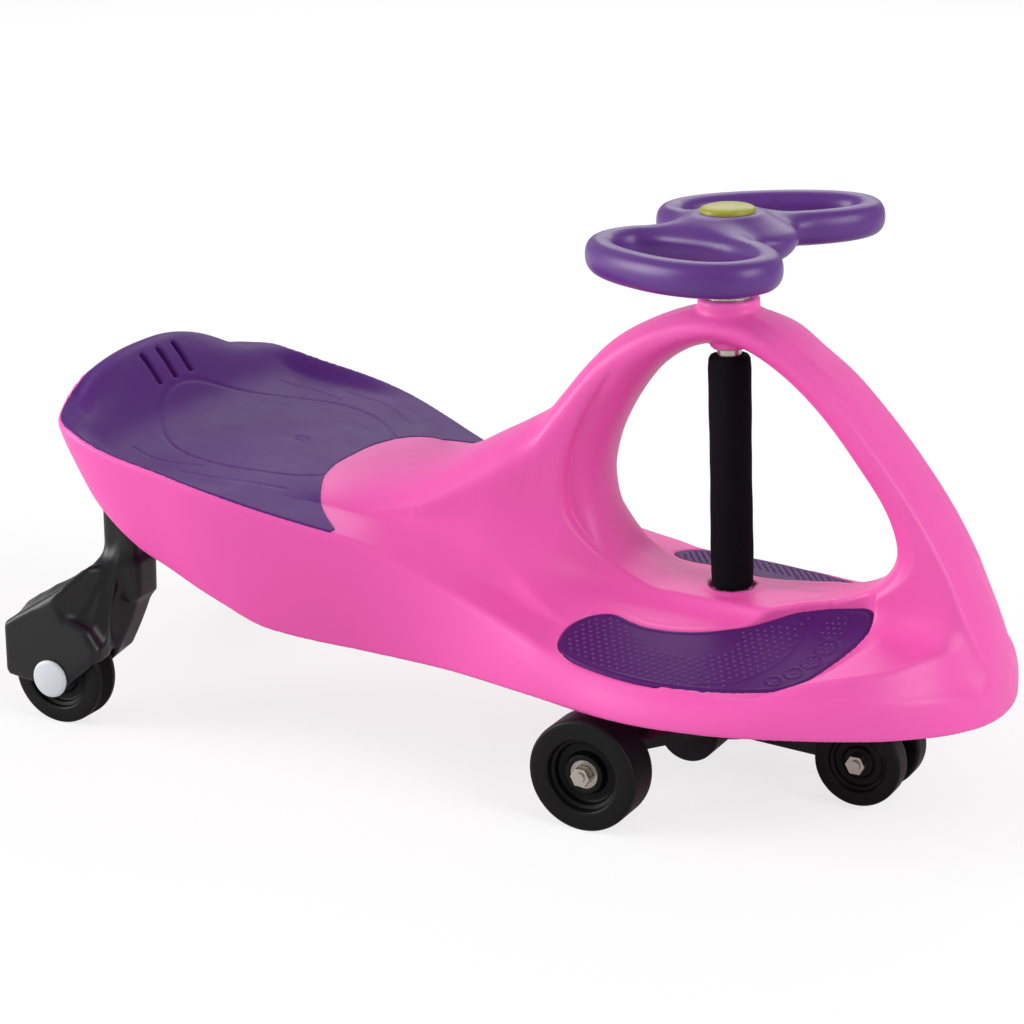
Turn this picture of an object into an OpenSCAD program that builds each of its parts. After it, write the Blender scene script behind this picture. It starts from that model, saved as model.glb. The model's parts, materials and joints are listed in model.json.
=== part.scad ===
// Wiggle car: a child's ride-on car, steered and driven by swinging its two-loop wheel.
// +X is forwards, +Y is the rider's left, the wheels stand on z = 0.

/* [Overall] */
// Length from the nose to the backs of the rear wheel housings
car_len = 760; // [700:5:840]
// How far the rear wheel housings stand behind the hull
stern_setback = 16; // [12:1:24]
// Width of the hull at the seat
seat_w = 316; // [300:2:330]
// Width of the hull at its waist
waist_w = 232; // [210:2:250]
// Width of the hull at the foot deck
deck_w = 300; // [288:2:320]

/* [Hull] */
// Height of the hull's rim beside the rider
rim_h = 210; // [204:1:218]
// Height of the hull's lower edge at the foot deck
skirt_h = 87; // [87:0.5:90]
// Height of the arch's crown
arch_h = 358; // [352:1:366]
// Height of the deck where the column stands
deck_h = 144; // [140:1:148]
// Height that the deck's middle gains over its edge
deck_rise = 29; // [24:1:32]
// Thickness of the moulding
wall = 4; // [3:0.5:5]
// How far the hull's lower edge tucks in below the seat
side_tuck = 20; // [12:1:26]
// How far the skirt flares out below the foot deck
skirt_flare = 5; // [2:1:7]
// Width of the rim that shows round the seat
seat_rim = 2.5; // [2:0.5:4]

/* [Seat] */
// Thickness of the seat
seat_t = 4; // [3:0.5:5]
// Length of each slot in the seat's back
slot_len = 26; // [18:1:30]
// Width of each slot in the seat's back
slot_w = 6; // [4:0.5:8]
// Distance between the slots
slot_pitch = 22; // [16:1:26]
// Radius of a seat screw's shank
screw_r = 2; // [1.5:0.25:2.5]

/* [Foot mats] */
// Length of a foot mat
mat_len = 204; // [190:2:206]
// Width of a foot mat
mat_w = 116; // [108:1:118]
// Thickness of a foot mat
mat_t = 3; // [2:0.5:4]

/* [Steering column] */
// Backward lean of the column, in degrees
column_lean = 2.2; // [1:0.1:2.4]
// Outside radius of the column's tube
tube_r = 9; // [8:0.5:10]
// Wall of the column's tube
tube_wall = 1.8; // [1.2:0.2:2.4]
// Radius of the foam sleeve
foam_r = 15.8; // [14:0.2:18]
// Radius of the bushes that guide the tube
bush_r = 12; // [11.5:0.25:13]
// Radius of the collar on the arch
collar_r = 22.5; // [20:0.5:26]
// Height of the collar above the arch's crown
collar_h = 4.5; // [3:0.5:8]
// Radius of the bright washer under the steering wheel
washer_r = 17; // [16:0.5:19]
// Thickness of each thrust washer
washer_t = 2; // [1.5:0.25:3]

/* [Steering wheel] */
// Width of the steering wheel, across both loops
wheel_w = 276; // [250:2:300]
// Length of each loop
loop_len = 168; // [156:1:176]
// Breadth of each loop
loop_w = 104; // [96:1:110]
// Angle by which each loop splays outwards at its front
loop_splay = 26.5; // [20:0.5:32]
// Width of the rim
rim_w = 21.5; // [18:0.5:24]
// Height of the rim
rim_t = 25; // [22:0.5:28]
// Radius of the hub
hub_r = 46; // [42:1:50]
// Radius of the cap
cap_r = 20; // [16:0.5:22]
// Height of the cap's dome
cap_dome = 5; // [3:0.5:7]

/* [Front bogie] */
// Radius of a main wheel
main_r = 42; // [40:0.5:42]
// Width of a main wheel
main_w = 32; // [28:1:34]
// Distance across the outer faces of the main wheels
main_span = 308; // [296:2:310]
// How far the main axle trails behind the column
main_trail = 52; // [46:1:54]
// Radius of a safety wheel
safety_r = 33; // [28:0.5:35]
// Width of a safety wheel
safety_w = 18; // [14:1:20]
// Clearance under the safety wheels
safety_lift = 3.5; // [2:0.5:6]
// How far the safety axle stands ahead of the column
safety_lead = 109; // [100:1:116]
// Radius of every axle
axle_r = 4; // [3.5:0.25:4.5]

/* [Rear wheels] */
// Radius of a rear wheel
rear_r = 39.5; // [38:0.5:41]
// Width of a rear wheel
rear_w = 24; // [22:1:26]
// Distance across the outer faces of the rear wheels
rear_span = 312; // [304:2:320]
// How far the rear axle stands ahead of the housing's back
rear_axle_setback = 43; // [42.5:0.5:48]
// Wall of the rear wheel housing
arm_wall = 5; // [4:0.5:6]
// Radius of the white hub caps
hub_cap_r = 15; // [12:0.5:18]

/* [Bearings and fasteners] */
// Outside radius of a ball bearing
bearing_r = 11; // [10:0.5:12]
// Width of a ball bearing
bearing_w = 7; // [6:0.5:8]
// Width across the flats of an axle nut
nut_flats = 13; // [12:0.5:15]
// Height of an axle nut
nut_t = 7; // [5:0.5:8]

/* [Hidden] */
$fn = 48;

pink = [0.88, 0.15, 0.46];
purple = [0.13, 0.04, 0.2];
yellow = [0.5, 0.48, 0.06];
black = [0.03, 0.03, 0.035];
steel = [0.6, 0.6, 0.62];
white = [0.78, 0.8, 0.82];
nylon = [0.85, 0.85, 0.8];

// Clearances: fit_gap parts that are fixed together, run_gap is a shaft's running fit, and over is the
// overrun of every cut
fit_gap = 0.3;
run_gap = 0.05;
over = 1;
wheel_bore_gap = 2;

half_len = car_len/2;
stern_x = stern_setback - half_len;
nose_x = half_len;

// Places along the hull, as shares of half the length
seat_x_share = -0.592;
waist_x_share = -0.066;
deck_x_share = 0.474;
column_x_share = 0.434;
tuck_from_share = -0.263;
tuck_to_share = 0.158;
seat_end_share = -0.32;
fore_share = 0.13;
// Heights that two lines share where the seat goes over into the deck and the arch, one over the other
rim_deck_share = 1.4583333;
skirt_rim_share = 0.4142857;
arch_rim_share = 1.7047619;
seat_x = half_len*seat_x_share;
waist_x = half_len*waist_x_share;
deck_x = half_len*deck_x_share;
column_x = half_len*column_x_share;
stern_power = 3.6;

// The crease between side and deck: place along the hull, height over the rim's height
crease_shares = [[-0.958, 1.238], [-0.942, 1.181], [-0.926, 1.15], [-0.895, 1.138], [-0.842, 1.129],
    [-0.8, 1.107],
    [-0.729, 1.071], [-0.618, 1.031], [-0.511, 0.983], [-0.413, 0.938], [-0.324, 0.898],
    [-0.232, 0.852], [-0.166, 0.805], [-0.097, 0.752], [-0.026, 0.705], [0.074, 0.657], [0.153, 0.614],
    [0.232, 0.581], [0.347, 0.55], [0.455, 0.548], [0.539, 0.557], [0.682, 0.576], [0.776, 0.61],
    [0.876, 0.671], [0.921, 0.69], [0.947, 0.676], [0.968, 0.629], [0.987, 0.552], [1, 0.486]];
// The hull's lower edge: place along the hull, height over the skirt's height
keel_shares = [[-0.958, 2.805], [-0.937, 2.621], [-0.916, 2.471], [-0.868, 2.276], [-0.792, 2.011],
    [-0.708, 1.77], [-0.637, 1.621], [-0.463, 1.287], [-0.297, 1.086], [-0.105, 1], [0.342, 1],
    [0.55, 1.034], [0.729, 1.057], [0.884, 1.046], [0.963, 1.023], [1, 1]];
// The ridge from the seat over the arch to the nose: place along the hull, height over the arch's height,
// half width over half the deck's, the crown's part of the height over the crease, the flare of the sides,
// and the deck's own rise at that place over deck_rise
ridge_shares = [[-0.958, 0.7263, 0.4, 0.6, 1, 0], [-0.942, 0.7472, 0.547, 0.7, 1, 0],
    [-0.921, 0.7556, 0.667, 0.7, 1, 0], [-0.903, 0.7528, 0.733, 0.7, 1, 0],
    [-0.887, 0.7388, 0.76, 0.7, 1, 0], [-0.868, 0.7165, 0.787, 0.7, 1, 0],
    [-0.845, 0.6830, 0.813, 0.7, 1, 0], [-0.824, 0.6536, 0.827, 0.7, 1, 0],
    [-0.805, 0.6327, 0.84, 0.7, 1, 0], [-0.784, 0.6173, 0.853, 0.7, 1, 0],
    [-0.753, 0.6047, 0.867, 0.7, 1, 0], [-0.705, 0.5950, 0.88, 0.7, 1, 0],
    [-0.618, 0.5880, 0.88, 0.7, 1, 0], [-0.511, 0.5824, 0.88, 0.7, 1, 0],
    [-0.413, 0.574, 0.84, 0.7, 1.1, 0], [-0.342, 0.6034, 0.76, 0.62, 1.3, 0],
    [-0.263, 0.6201, 0.7, 0.55, 1.5, 0], [-0.134, 0.6425, 0.587, 0.45, 1.8, 0.05],
    [-0.008, 0.7095, 0.44, 0.35, 2.4, 0.35], [0.055, 0.7626, 0.353, 0.28, 3.2, 0.5],
    [0.132, 0.8631, 0.28, 0.17, 5, 0.75], [0.182, 0.9064, 0.24, 0.12, 7, 0.85],
    [0.25, 0.9525, 0.213, 0.08, 10, 0.95], [0.321, 0.9832, 0.2, 0.06, 12, 1],
    [0.382, 0.9972, 0.2, 0.045, 12, 1], [0.434, 1, 0.2, 0.04, 12, 1],
    [0.474, 0.9902, 0.2, 0.035, 12, 1], [0.526, 0.9637, 0.2, 0.035, 12, 1],
    [0.579, 0.9246, 0.2, 0.035, 12, 1], [0.645, 0.8743, 0.2, 0.035, 12, 0.97],
    [0.716, 0.7989, 0.2, 0.04, 10, 0.9], [0.784, 0.7151, 0.2, 0.05, 8, 0.75],
    [0.853, 0.6173, 0.2, 0.07, 5, 0.45], [0.9, 0.5391, 0.2, 0.14, 3, 0.2],
    [0.924, 0.4888, 0.2, 0.22, 2, 0.05], [0.947, 0.4497, 0.2, 0.35, 1.4, 0],
    [0.968, 0.4022, 0.193, 0.5, 1.1, 0], [0.987, 0.3464, 0.167, 0.6, 1, 0],
    [1, 0.2905, 0.053, 0.6, 1, 0]];
// The opening under the arch, seen from the side: place along the hull, height over the arch's height
opening_shares = [[0.295, 0.408], [0.221, 0.455], [0.184, 0.525], [0.168, 0.595], [0.171, 0.645],
    [0.188, 0.709],
    [0.224, 0.784], [0.271, 0.852], [0.326, 0.898], [0.382, 0.922], [0.429, 0.926], [0.484, 0.911],
    [0.558, 0.863], [0.629, 0.796], [0.697, 0.711], [0.747, 0.64], [0.774, 0.575], [0.774, 0.528],
    [0.747, 0.483], [0.695, 0.441], [0.618, 0.415], [0.526, 0.405], [0.434, 0.402], [0.355, 0.403]];
// The seat's front edge: distance from the middle over half the seat's width, place along the hull
seat_front_shares = [[0, -0.416], [0.18, -0.413], [0.36, -0.395], [0.51, -0.365], [0.60, -0.342],
    [0.69, -0.308],
    [0.76, -0.272], [0.80, -0.25]];
// A foot mat's outline: place along the mat from its middle over its length, place across it outwards from
// its middle over its width
mat_shares = [[-0.5, 0.233], [-0.5, 0], [-0.451, -0.181], [-0.373, -0.181], [-0.284, -0.147],
    [-0.044, -0.129],
    [0.088, -0.207], [0.25, -0.422], [0.377, -0.5], [0.48, -0.491], [0.5, -0.362], [0.485, 0.052],
    [0.412, 0.284], [0.245, 0.431], [0.039, 0.5], [-0.201, 0.448], [-0.402, 0.362]];

// Blends
function mix(a, b, t) = a + (b - a)*t;
function ease(t) = (1 - cos(180*min(1, max(0, t))))/2;
function step_of(tab, x) = max(concat([0], [for (i = [0:len(tab) - 2]) if (x >= tab[i][0]) i]));
function slope_of(tab, i) =
    let (a = max(0, i - 1), b = min(len(tab) - 1, i + 1))
    (tab[b][1] - tab[a][1])/(tab[b][0] - tab[a][0]);
function hermite(a, b, m, n, t) =
    a*(2*t^3 - 3*t^2 + 1) + m*(t^3 - 2*t^2 + t) + b*(3*t^2 - 2*t^3) + n*(t^3 - t^2);
function curve(tab, x) =
    let (c = min(max(x, tab[0][0]), tab[len(tab) - 1][0]), i = step_of(tab, c),
        h = tab[i + 1][0] - tab[i][0])
    hermite(tab[i][1], tab[i + 1][1], slope_of(tab, i)*h, slope_of(tab, i + 1)*h, (c - tab[i][0])/h);
function column_of(tab, k) = [for (r = tab) [r[0], r[k]]];
function ring_point(pts, i) = pts[(i + len(pts))%len(pts)];
function spline(pts, steps) = [for (i = [0:len(pts) - 1], j = [0:steps - 1])
    let (t = j/steps, p = ring_point(pts, i), q = ring_point(pts, i + 1))
    hermite(p, q, (q - ring_point(pts, i - 1))/2, (ring_point(pts, i + 2) - p)/2, t)];

ridge_z = column_of(ridge_shares, 1);
ridge_w = column_of(ridge_shares, 2);
ridge_crown = column_of(ridge_shares, 3);
ridge_flare = column_of(ridge_shares, 4);
ridge_deck = column_of(ridge_shares, 5);

// Hull: half width, crease, lower edge and ridge at a place along it
function half_w(x) =
    x < seat_x ? seat_w/2*max(0, 1 - ((seat_x - x)/(seat_x - stern_x))^stern_power)^(1/stern_power) :
    x < waist_x ? mix(seat_w/2, waist_w/2, ease((x - seat_x)/(waist_x - seat_x))) :
    x < deck_x ? mix(waist_w/2, deck_w/2, ease((x - waist_x)/(deck_x - waist_x))) :
    deck_w/2*sqrt(max(0, 1 - ((x - deck_x)/(nose_x - deck_x))^2));
// How far a place is on from the seat, which follows the rim's height, to the deck and the arch, which
// have their own
function fore(x) = ease((x/half_len - seat_end_share)/(fore_share - seat_end_share));
function crease_z(x) = curve(crease_shares, x/half_len)*mix(rim_h, deck_h*rim_deck_share, fore(x));
function keel_z(x) = curve(keel_shares, x/half_len)*mix(rim_h*skirt_rim_share, skirt_h, fore(x));
function top_z(x) = curve(ridge_z, x/half_len)*mix(rim_h*arch_rim_share, arch_h, fore(x));
function tuck(x) = mix(side_tuck, -skirt_flare,
    ease((x/half_len - tuck_from_share)/(tuck_to_share - tuck_from_share)))*half_w(x)/(deck_w/2);

side_steps = 7;
crown_steps = 4;
ridge_max_share = 0.86;
flare_max = 12;
deck_power = 1.2;
// Half of a section's upper line, from the crease to the middle, as [y, z], drawn in by inset and lowered
// by drop
function upper_half(x, inset, drop) =
    let (s = x/half_len, w = half_w(x), zc = crease_z(x), zt = top_z(x),
        b = min(deck_w/2*curve(ridge_w, s), w*ridge_max_share), q = max(1, curve(ridge_flare, s)),
        d = deck_rise*max(0, curve(ridge_deck, s)), zs = mix(zt, zc, curve(ridge_crown, s)),
        rise = zs - zc - d*max(0, 1 - b/w)^deck_power)
    concat(
        [for (j = [0:side_steps])
            let (v = (j/side_steps)^2, y = min(w, b + (w - b)*max(0, 1 - v)^q))
            [max(0, y - inset),
                zc + d*max(0, 1 - y/w)^deck_power
                + rise*v^(1 + (min(q, flare_max) - 1)/(flare_max - 1)) - drop]],
        [for (k = [1:crown_steps])
            let (a = 90*k/crown_steps)
            [max(0, b - inset)*cos(a), zs + (zt - zs)*sin(a) - drop]]);

skirt_mid_share = 0.5;
skirt_bulge_share = 0.02;
// A closed section of the hull, left side first, from the lower edge up and over
function section(x, inset, drop, sink) =
    let (w = half_w(x), zc = crease_z(x), zb = keel_z(x), wb = w - tuck(x),
        wm = mix(wb, w, skirt_mid_share) + w*skirt_bulge_share,
        half = concat(sink > 0 ? [[max(0, wb - inset), zb - sink]] : [],
            [[max(0, wb - inset), zb], [max(0, wm - inset), mix(zb, zc - drop, skirt_mid_share)]],
            upper_half(x, inset, drop)))
    concat([for (p = half) [x, p[0], p[1]]],
        [for (i = [len(half) - 2:-1:0]) [x, -half[i][0], half[i][1]]]);

stern_turns = [86, 70, 54, 38, 19];
nose_turns = [14, 28, 41, 52, 62, 71, 79, 87];
mid_steps = 18;
// Stations along the hull, closer together round the stern and the nose
function stations(inset, stern_inset = 0) = concat(
    [for (a = stern_turns) seat_x - (seat_x - stern_x - inset - stern_inset)*sin(a)^(2/stern_power)],
    [for (i = [0:mid_steps]) mix(seat_x, deck_x, i/mid_steps)],
    [for (a = nose_turns) deck_x + (nose_x - inset - deck_x)*sin(a)]);

// Skins a list of equal rings and closes both ends
module skin(rings) {
    m = len(rings[0]);
    n = len(rings);
    polyhedron(
        points = [for (r = rings, p = r) p],
        faces = concat(
            [for (i = [0:n - 2], j = [0:m - 1]) [i*m + j, (i + 1)*m + j, i*m + (j + 1)%m]],
            [for (i = [0:n - 2], j = [0:m - 1]) [i*m + (j + 1)%m, (i + 1)*m + j, (i + 1)*m + (j + 1)%m]],
            [[for (j = [0:m - 1]) j]],
            [[for (j = [m - 1:-1:0]) (n - 1)*m + j]]));
}

stern_thick = 9;
stern_thick_len = 90;
// How far the hollow stays inside the hull's skin, further at the stern
function hollow_inset(x) = wall + stern_thick*(1 - ease((x - stern_x - wall)/stern_thick_len));

pocket_depth = seat_t + fit_gap;
pocket_end_share = -0.29;
// Extra depth of the hollow below the seat
function seat_drop(x) =
    pocket_depth*(1 - ease((x/half_len - pocket_end_share)/(waist_x_share - pocket_end_share)));

opening_steps = 2;
opening_line = spline([for (p = opening_shares) [p[0]*half_len, p[1]*arch_h]], opening_steps);
opening_mid = [column_x, deck_h + (arch_h - deck_h)/2];
mouth_flare = 19;
mouth_half = 33;
mouth_rise_share = 0.28;
mouth_turns = [0, 28, 48, 65, 79, 90];
// How far the opening's mouth stands out from its waist, at a point of the outline and a turn from the middle
function mouth(p, turn) =
    mouth_flare*(1 - cos(turn))*ease((p[1] - deck_h)/((arch_h - deck_h)*mouth_rise_share));
function opening_ring(y, turn, margin) = [for (p = opening_line)
    let (q = p + (p - opening_mid)/norm(p - opening_mid)*(mouth(p, turn) + margin))
    [q[0], y, q[1]]];

// A bar across the car with the opening's outline, flared at both mouths and grown by a margin
module opening_bar(margin) {
    n = len(mouth_turns) - 1;
    skin(concat(
        [opening_ring(-seat_w, 90, margin)],
        [for (i = [n:-1:1]) opening_ring(-mouth_half*sin(mouth_turns[i]), mouth_turns[i], margin)],
        [for (i = [0:n]) opening_ring(mouth_half*sin(mouth_turns[i]), mouth_turns[i], margin)],
        [opening_ring(seat_w, 90, margin)]));
}

module on_column() {
    translate([column_x, 0, deck_h])
        rotate([0, -column_lean, 0])
            children();
}

// Places along the column, measured up its axis from the deck
collar_top = (arch_h + collar_h - deck_h)/cos(column_lean);
roof_share = 0.947;
roof_at = (arch_h*roof_share - deck_h)/cos(column_lean);
boss_drop = 12;
boss_wall = 1.5;
boss_r = bush_r + boss_wall;
upper_boss_low = roof_at - boss_drop;
deck_boss_low = -36;
deck_boss_r = bush_r + wall + fit_gap;
flange_t = 2;
flange_r = bush_r + wall;
foam_low = 2;
foam_head_gap = 5;
foam_high = upper_boss_low - foam_head_gap;

// A ring, bored through
module ring(r, bore, low, high) {
    translate([0, 0, low])
        difference() {
            cylinder(r = r, h = high - low);
            translate([0, 0, -over])
                cylinder(r = bore, h = high - low + 2*over);
        }
}

seat_screw_shares = [[-0.70, 0.30], [-0.55, 0.34], [-0.40, 0.22]];
seat_boss_r = 7;
seat_boss_tip_r = 5;
seat_boss_h = 12;
// Each screw's place, under the seat
function seat_screw_places() = [for (s = seat_screw_shares, side = [-1, 1])
    [s[0]*half_len, side*s[1]*seat_w/2]];
// Height of the seat's upper face at a place, between the section's points
function seat_z(x, y) =
    let (half = upper_half(x, 0, 0),
        hit = [for (i = [0:len(half) - 2]) if (half[i + 1][0] <= abs(y) && half[i][0] >= abs(y)) i])
    len(hit) == 0 ? top_z(x) :
        let (a = half[hit[0]], b = half[hit[0] + 1], t = a[0] == b[0] ? 0 : (a[0] - abs(y))/(a[0] - b[0]))
        mix(a[1], b[1], t);

seat_stations = [for (x = stations(seat_rim)) if (x < half_len*seat_front_shares[7][1] + seat_t) x];
// A slab between two offsets of the seat's face, inside the hull's rim
module seat_slab(inset, low, high) {
    rings = [for (x = seat_stations)
        let (half = upper_half(x, 0, 0), w = half_w(x), k = max(0, w - inset)/w, n = len(half) - 1,
            right = [for (p = half) [x, -p[0]*k, p[1]]],
            left = [for (i = [n - 1:-1:0]) [x, half[i][0]*k, half[i][1]]],
            line = concat(right, left))
        concat(
            [for (p = line) p + [0, 0, low]],
            [for (i = [len(line) - 1:-1:0]) line[i] + [0, 0, high]])];
    skin(rings);
}

front_steps = 4;
// Plan of the seat: everything behind its front edge
module seat_plan(margin, height) {
    half = [for (i = [0:len(seat_front_shares) - 2], j = [0:front_steps - 1])
        let (y = mix(seat_front_shares[i][0], seat_front_shares[i + 1][0], j/front_steps))
        [half_len*curve([for (p = seat_front_shares) [p[0], p[1]]], y), y*seat_w/2]];
    edge = concat(half, [[half_len*seat_front_shares[7][1], seat_w]]);
    linear_extrude(height = height)
        offset(delta = margin)
            polygon(concat(
                [for (i = [len(edge) - 1:-1:0]) [edge[i][0], -edge[i][1]]],
                edge,
                [[-half_len, seat_w], [-half_len, -seat_w]]));
}

slot_x_share = -0.871;
slot_lean = 52;
slot_chamfer = 1.2;
// A slot's stretch between two depths, with a width at each
module slot_stretch(low, high, low_w, high_w) {
    hull()
        for (s = [-1, 1])
            translate([s*(slot_len - slot_w)/2, 0, low])
                cylinder(d1 = low_w, d2 = high_w, h = high - low, $fn = 12);
}

// The slots in the seat's back, eased at both mouths
module seat_slots() {
    for (i = [-1:1])
        translate([slot_x_share*half_len, i*slot_pitch, seat_z(slot_x_share*half_len, 0)])
            rotate([0, slot_lean, 0]) {
                slot_stretch(-slot_len/2, slot_len/2, slot_w, slot_w);
                slot_stretch(-slot_chamfer, slot_len/2, slot_w, slot_w + 4*slot_chamfer);
                slot_stretch(-slot_len/2, slot_chamfer - seat_t, slot_w + 4*slot_chamfer, slot_w);
            }
}

mat_x_share = 0.471;
mat_y_share = 0.56;
mat_lift = 4.5;
mat_roll = 11;
mat_pitch = 3;
mat_steps = 2;
mat_line = spline([for (p = mat_shares) [p[0]*mat_len, p[1]*mat_w]], mat_steps);
mat_x = half_len*mat_x_share;
mat_y = deck_w/2*mat_y_share;
mat_z = crease_z(mat_x) + deck_rise*(1 - mat_y_share)^deck_power - mat_t + mat_lift;

// Lays something flat on the right or left foot deck
module on_deck(side) {
    mirror([0, side > 0 ? 1 : 0, 0])
        translate([mat_x, -mat_y, mat_z])
            rotate([mat_roll, -mat_pitch, 0])
                children();
}

module mat_plate(side, margin, height) {
    on_deck(side)
        mirror([0, 1, 0])
            linear_extrude(height = height)
                offset(delta = margin)
                    polygon(mat_line);
}

pocket_reach = 24;
// Bed that carries a mat, as wide as its pocket and a wall
module mat_bed(height) {
    mirror([0, 1, 0])
        linear_extrude(height = height)
            offset(delta = wall/2)
                polygon(mat_line);
}

rib_t = 3;
rib_reach_share = 0.42;
rib_low = 30;
rib_high = 9;
rib_count = 6;
// Ribs under the deck, from the column's boss outwards
module deck_ribs() {
    for (i = [0:rib_count - 1])
        rotate([0, 0, 360/rib_count*(i + 0.5)])
            hull() {
                translate([deck_boss_r - over, -rib_t/2, -rib_low])
                    cube([over, rib_t, rib_low - wall]);
                translate([deck_w/2*rib_reach_share, -rib_t/2, -rib_low])
                    cube([over, rib_t, rib_high]);
            }
}

module seat_bosses() {
    for (p = seat_screw_places())
        translate([p[0], p[1], seat_z(p[0], p[1]) - pocket_depth - wall - seat_boss_h])
            difference() {
                hull() {
                    cylinder(r = seat_boss_tip_r, h = wall, $fn = 12);
                    translate([0, 0, seat_boss_h])
                        cylinder(r = seat_boss_r, h = wall/2, $fn = 12);
                }
                translate([0, 0, -over])
                    cylinder(r = screw_r + fit_gap, h = 2*seat_boss_h, $fn = 12);
            }
}

// The hull's own moulding: skin, hollow, opening, collar and bosses
module body_shell() {
    color(pink)
        difference() {
            union() {
                difference() {
                    skin([for (x = stations(0)) section(x, 0, 0, 0)]);
                    difference() {
                        skin([for (x = stations(wall, stern_thick))
                            section(x, hollow_inset(x), wall + seat_drop(x), skirt_h/2)]);
                        opening_bar(wall);
                        on_column()
                            cylinder(r = deck_boss_r, h = collar_top, $fn = 32);
                    }
                    opening_bar(0);
                }
                on_column() {
                    translate([0, 0, upper_boss_low])
                        cylinder(r = boss_r, h = collar_top - upper_boss_low, $fn = 32);
                    translate([0, 0, roof_at])
                        cylinder(r = collar_r, h = collar_top - roof_at);
                    translate([0, 0, deck_boss_low])
                        cylinder(r = deck_boss_r, h = -deck_boss_low, $fn = 32);
                    deck_ribs();
                }
                seat_bosses();
                for (side = [-1, 1])
                    on_deck(side)
                        translate([0, 0, -wall])
                            mat_bed(wall + mat_t/2);
                intersection() {
                    skin([for (x = stations(0)) section(x, 0, 0, 0)]);
                    for (side = [-1, 1])
                        on_deck(side)
                            translate([0, 0, -wall])
                                mat_bed(pocket_reach);
                }
            }
            on_column()
                translate([0, 0, deck_boss_low - over])
                    cylinder(r = bush_r + fit_gap, h = collar_top - deck_boss_low + 2*over);
            intersection() {
                seat_slab(seat_rim, -pocket_depth, arch_h);
                seat_plan(fit_gap, 2*arch_h);
            }
            for (side = [-1, 1])
                mat_plate(side, fit_gap, pocket_reach);
            for (side = [-1, 1], s = [-1, 1])
                translate([post_x + s*arm_bolt_pitch/2, side*post_y, post_top - wall])
                    cylinder(r = arm_bolt_r + fit_gap, h = wall + arm_bolt_rise + fit_gap, $fn = 16);
            for (p = seat_screw_places())
                translate([p[0], p[1], seat_z(p[0], p[1]) - 2*seat_boss_h])
                    cylinder(r = screw_r + fit_gap, h = 2*seat_boss_h, $fn = 12);
        }
}

module seat_pan() {
    color(purple)
        difference() {
            intersection() {
                seat_slab(seat_rim + fit_gap, -seat_t, 0);
                seat_plan(0, 2*arch_h);
            }
            seat_slots();
        }
}

screw_head_r = 4;
screw_head_t = 2.5;
// Screws up through the hull's bosses into the seat
module seat_screws() {
    color(steel)
        for (p = seat_screw_places())
            translate([p[0], p[1], seat_z(p[0], p[1]) - pocket_depth - wall - seat_boss_h]) {
                translate([0, 0, -screw_head_t])
                    cylinder(r = screw_head_r, h = screw_head_t);
                cylinder(r = screw_r, h = seat_boss_h + wall);
            }
}

module foot_mat_right() {
    color(purple)
        mat_plate(-1, 0, mat_t);
}

module foot_mat_left() {
    color(purple)
        mat_plate(1, 0, mat_t);
}

// Steering wheel, measured up the column from the collar
wheel_low = collar_top + flange_t + washer_t;
rim_mid_over = 40;
rim_at = wheel_low + rim_mid_over;
hub_rise = 8;
hub_top = rim_at + rim_t/2 + hub_rise;
hub_shoulder = rim_at + rim_t/4;
hub_foot_reach = 3;
hub_foot_r = washer_r + hub_foot_reach;
tube_top = rim_at;
loop_power = 2.2;
loop_steps = 40;
rim_steps = 12;
loop_reach = sqrt((((loop_len - rim_w)/2)*sin(loop_splay))^2 + (((loop_w - rim_w)/2)*cos(loop_splay))^2);
loop_y = wheel_w/2 - rim_w/2 - loop_reach;

function power_cos(a) = sign(cos(a))*abs(cos(a))^(2/loop_power);
function loop_place(a) =
    let (u = (loop_len - rim_w)/2*power_cos(a), v = (loop_w - rim_w)/2*power_cos(a - 90))
    [u*cos(loop_splay) - v*sin(loop_splay), loop_y + u*sin(loop_splay) + v*cos(loop_splay)];
// Rings round one loop of the wheel, each an upright oval across the loop's path
function loop_rings() = [for (i = [0:loop_steps - 1])
    let (a = 360*i/loop_steps, p = loop_place(a), d = loop_place(a + 2) - loop_place(a - 2),
        n = [d[1], -d[0]]/norm(d))
    [for (j = [0:rim_steps - 1])
        let (b = 360*j/rim_steps)
        [p[0] + n[0]*rim_w/2*cos(b), p[1] + n[1]*rim_w/2*cos(b), rim_at + rim_t/2*sin(b)]]];

// A closed tube through rings that come back to the first
module closed_tube(rings) {
    n = len(rings);
    m = len(rings[0]);
    polyhedron(
        points = [for (r = rings, p = r) p],
        faces = [for (i = [0:n - 1], j = [0:m - 1], k = [0, 1])
            let (a = i*m + j, b = ((i + 1)%n)*m + j, c = i*m + (j + 1)%m, d = ((i + 1)%n)*m + (j + 1)%m)
            k == 0 ? [a, c, b] : [c, d, b]]);
}

bolt_head_r = 7;
bolt_head_t = 5;
cap_seat = 3;
module steering_wheel() {
    color(purple)
        on_column()
            difference() {
                union() {
                    for (side = [0, 1])
                        mirror([0, side, 0])
                            closed_tube(loop_rings());
                    rotate_extrude()
                        polygon([[0, wheel_low], [hub_foot_r, wheel_low], [hub_r, rim_at - rim_t/3],
                            [hub_r, hub_shoulder], [cap_r + cap_seat, hub_top], [0, hub_top]]);
                }
                translate([0, 0, wheel_low - over])
                    cylinder(r = tube_r + run_gap, h = tube_top - wheel_low + over);
                translate([0, 0, wheel_low])
                    cylinder(r = axle_r + run_gap, h = hub_top - wheel_low);
                translate([0, 0, tube_top + bolt_head_t])
                    cylinder(r = bolt_head_r + fit_gap, h = hub_top - tube_top);
                translate([0, 0, hub_top - cap_seat])
                    cylinder(r = cap_r + fit_gap, h = cap_seat + over);
            }
}

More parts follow.
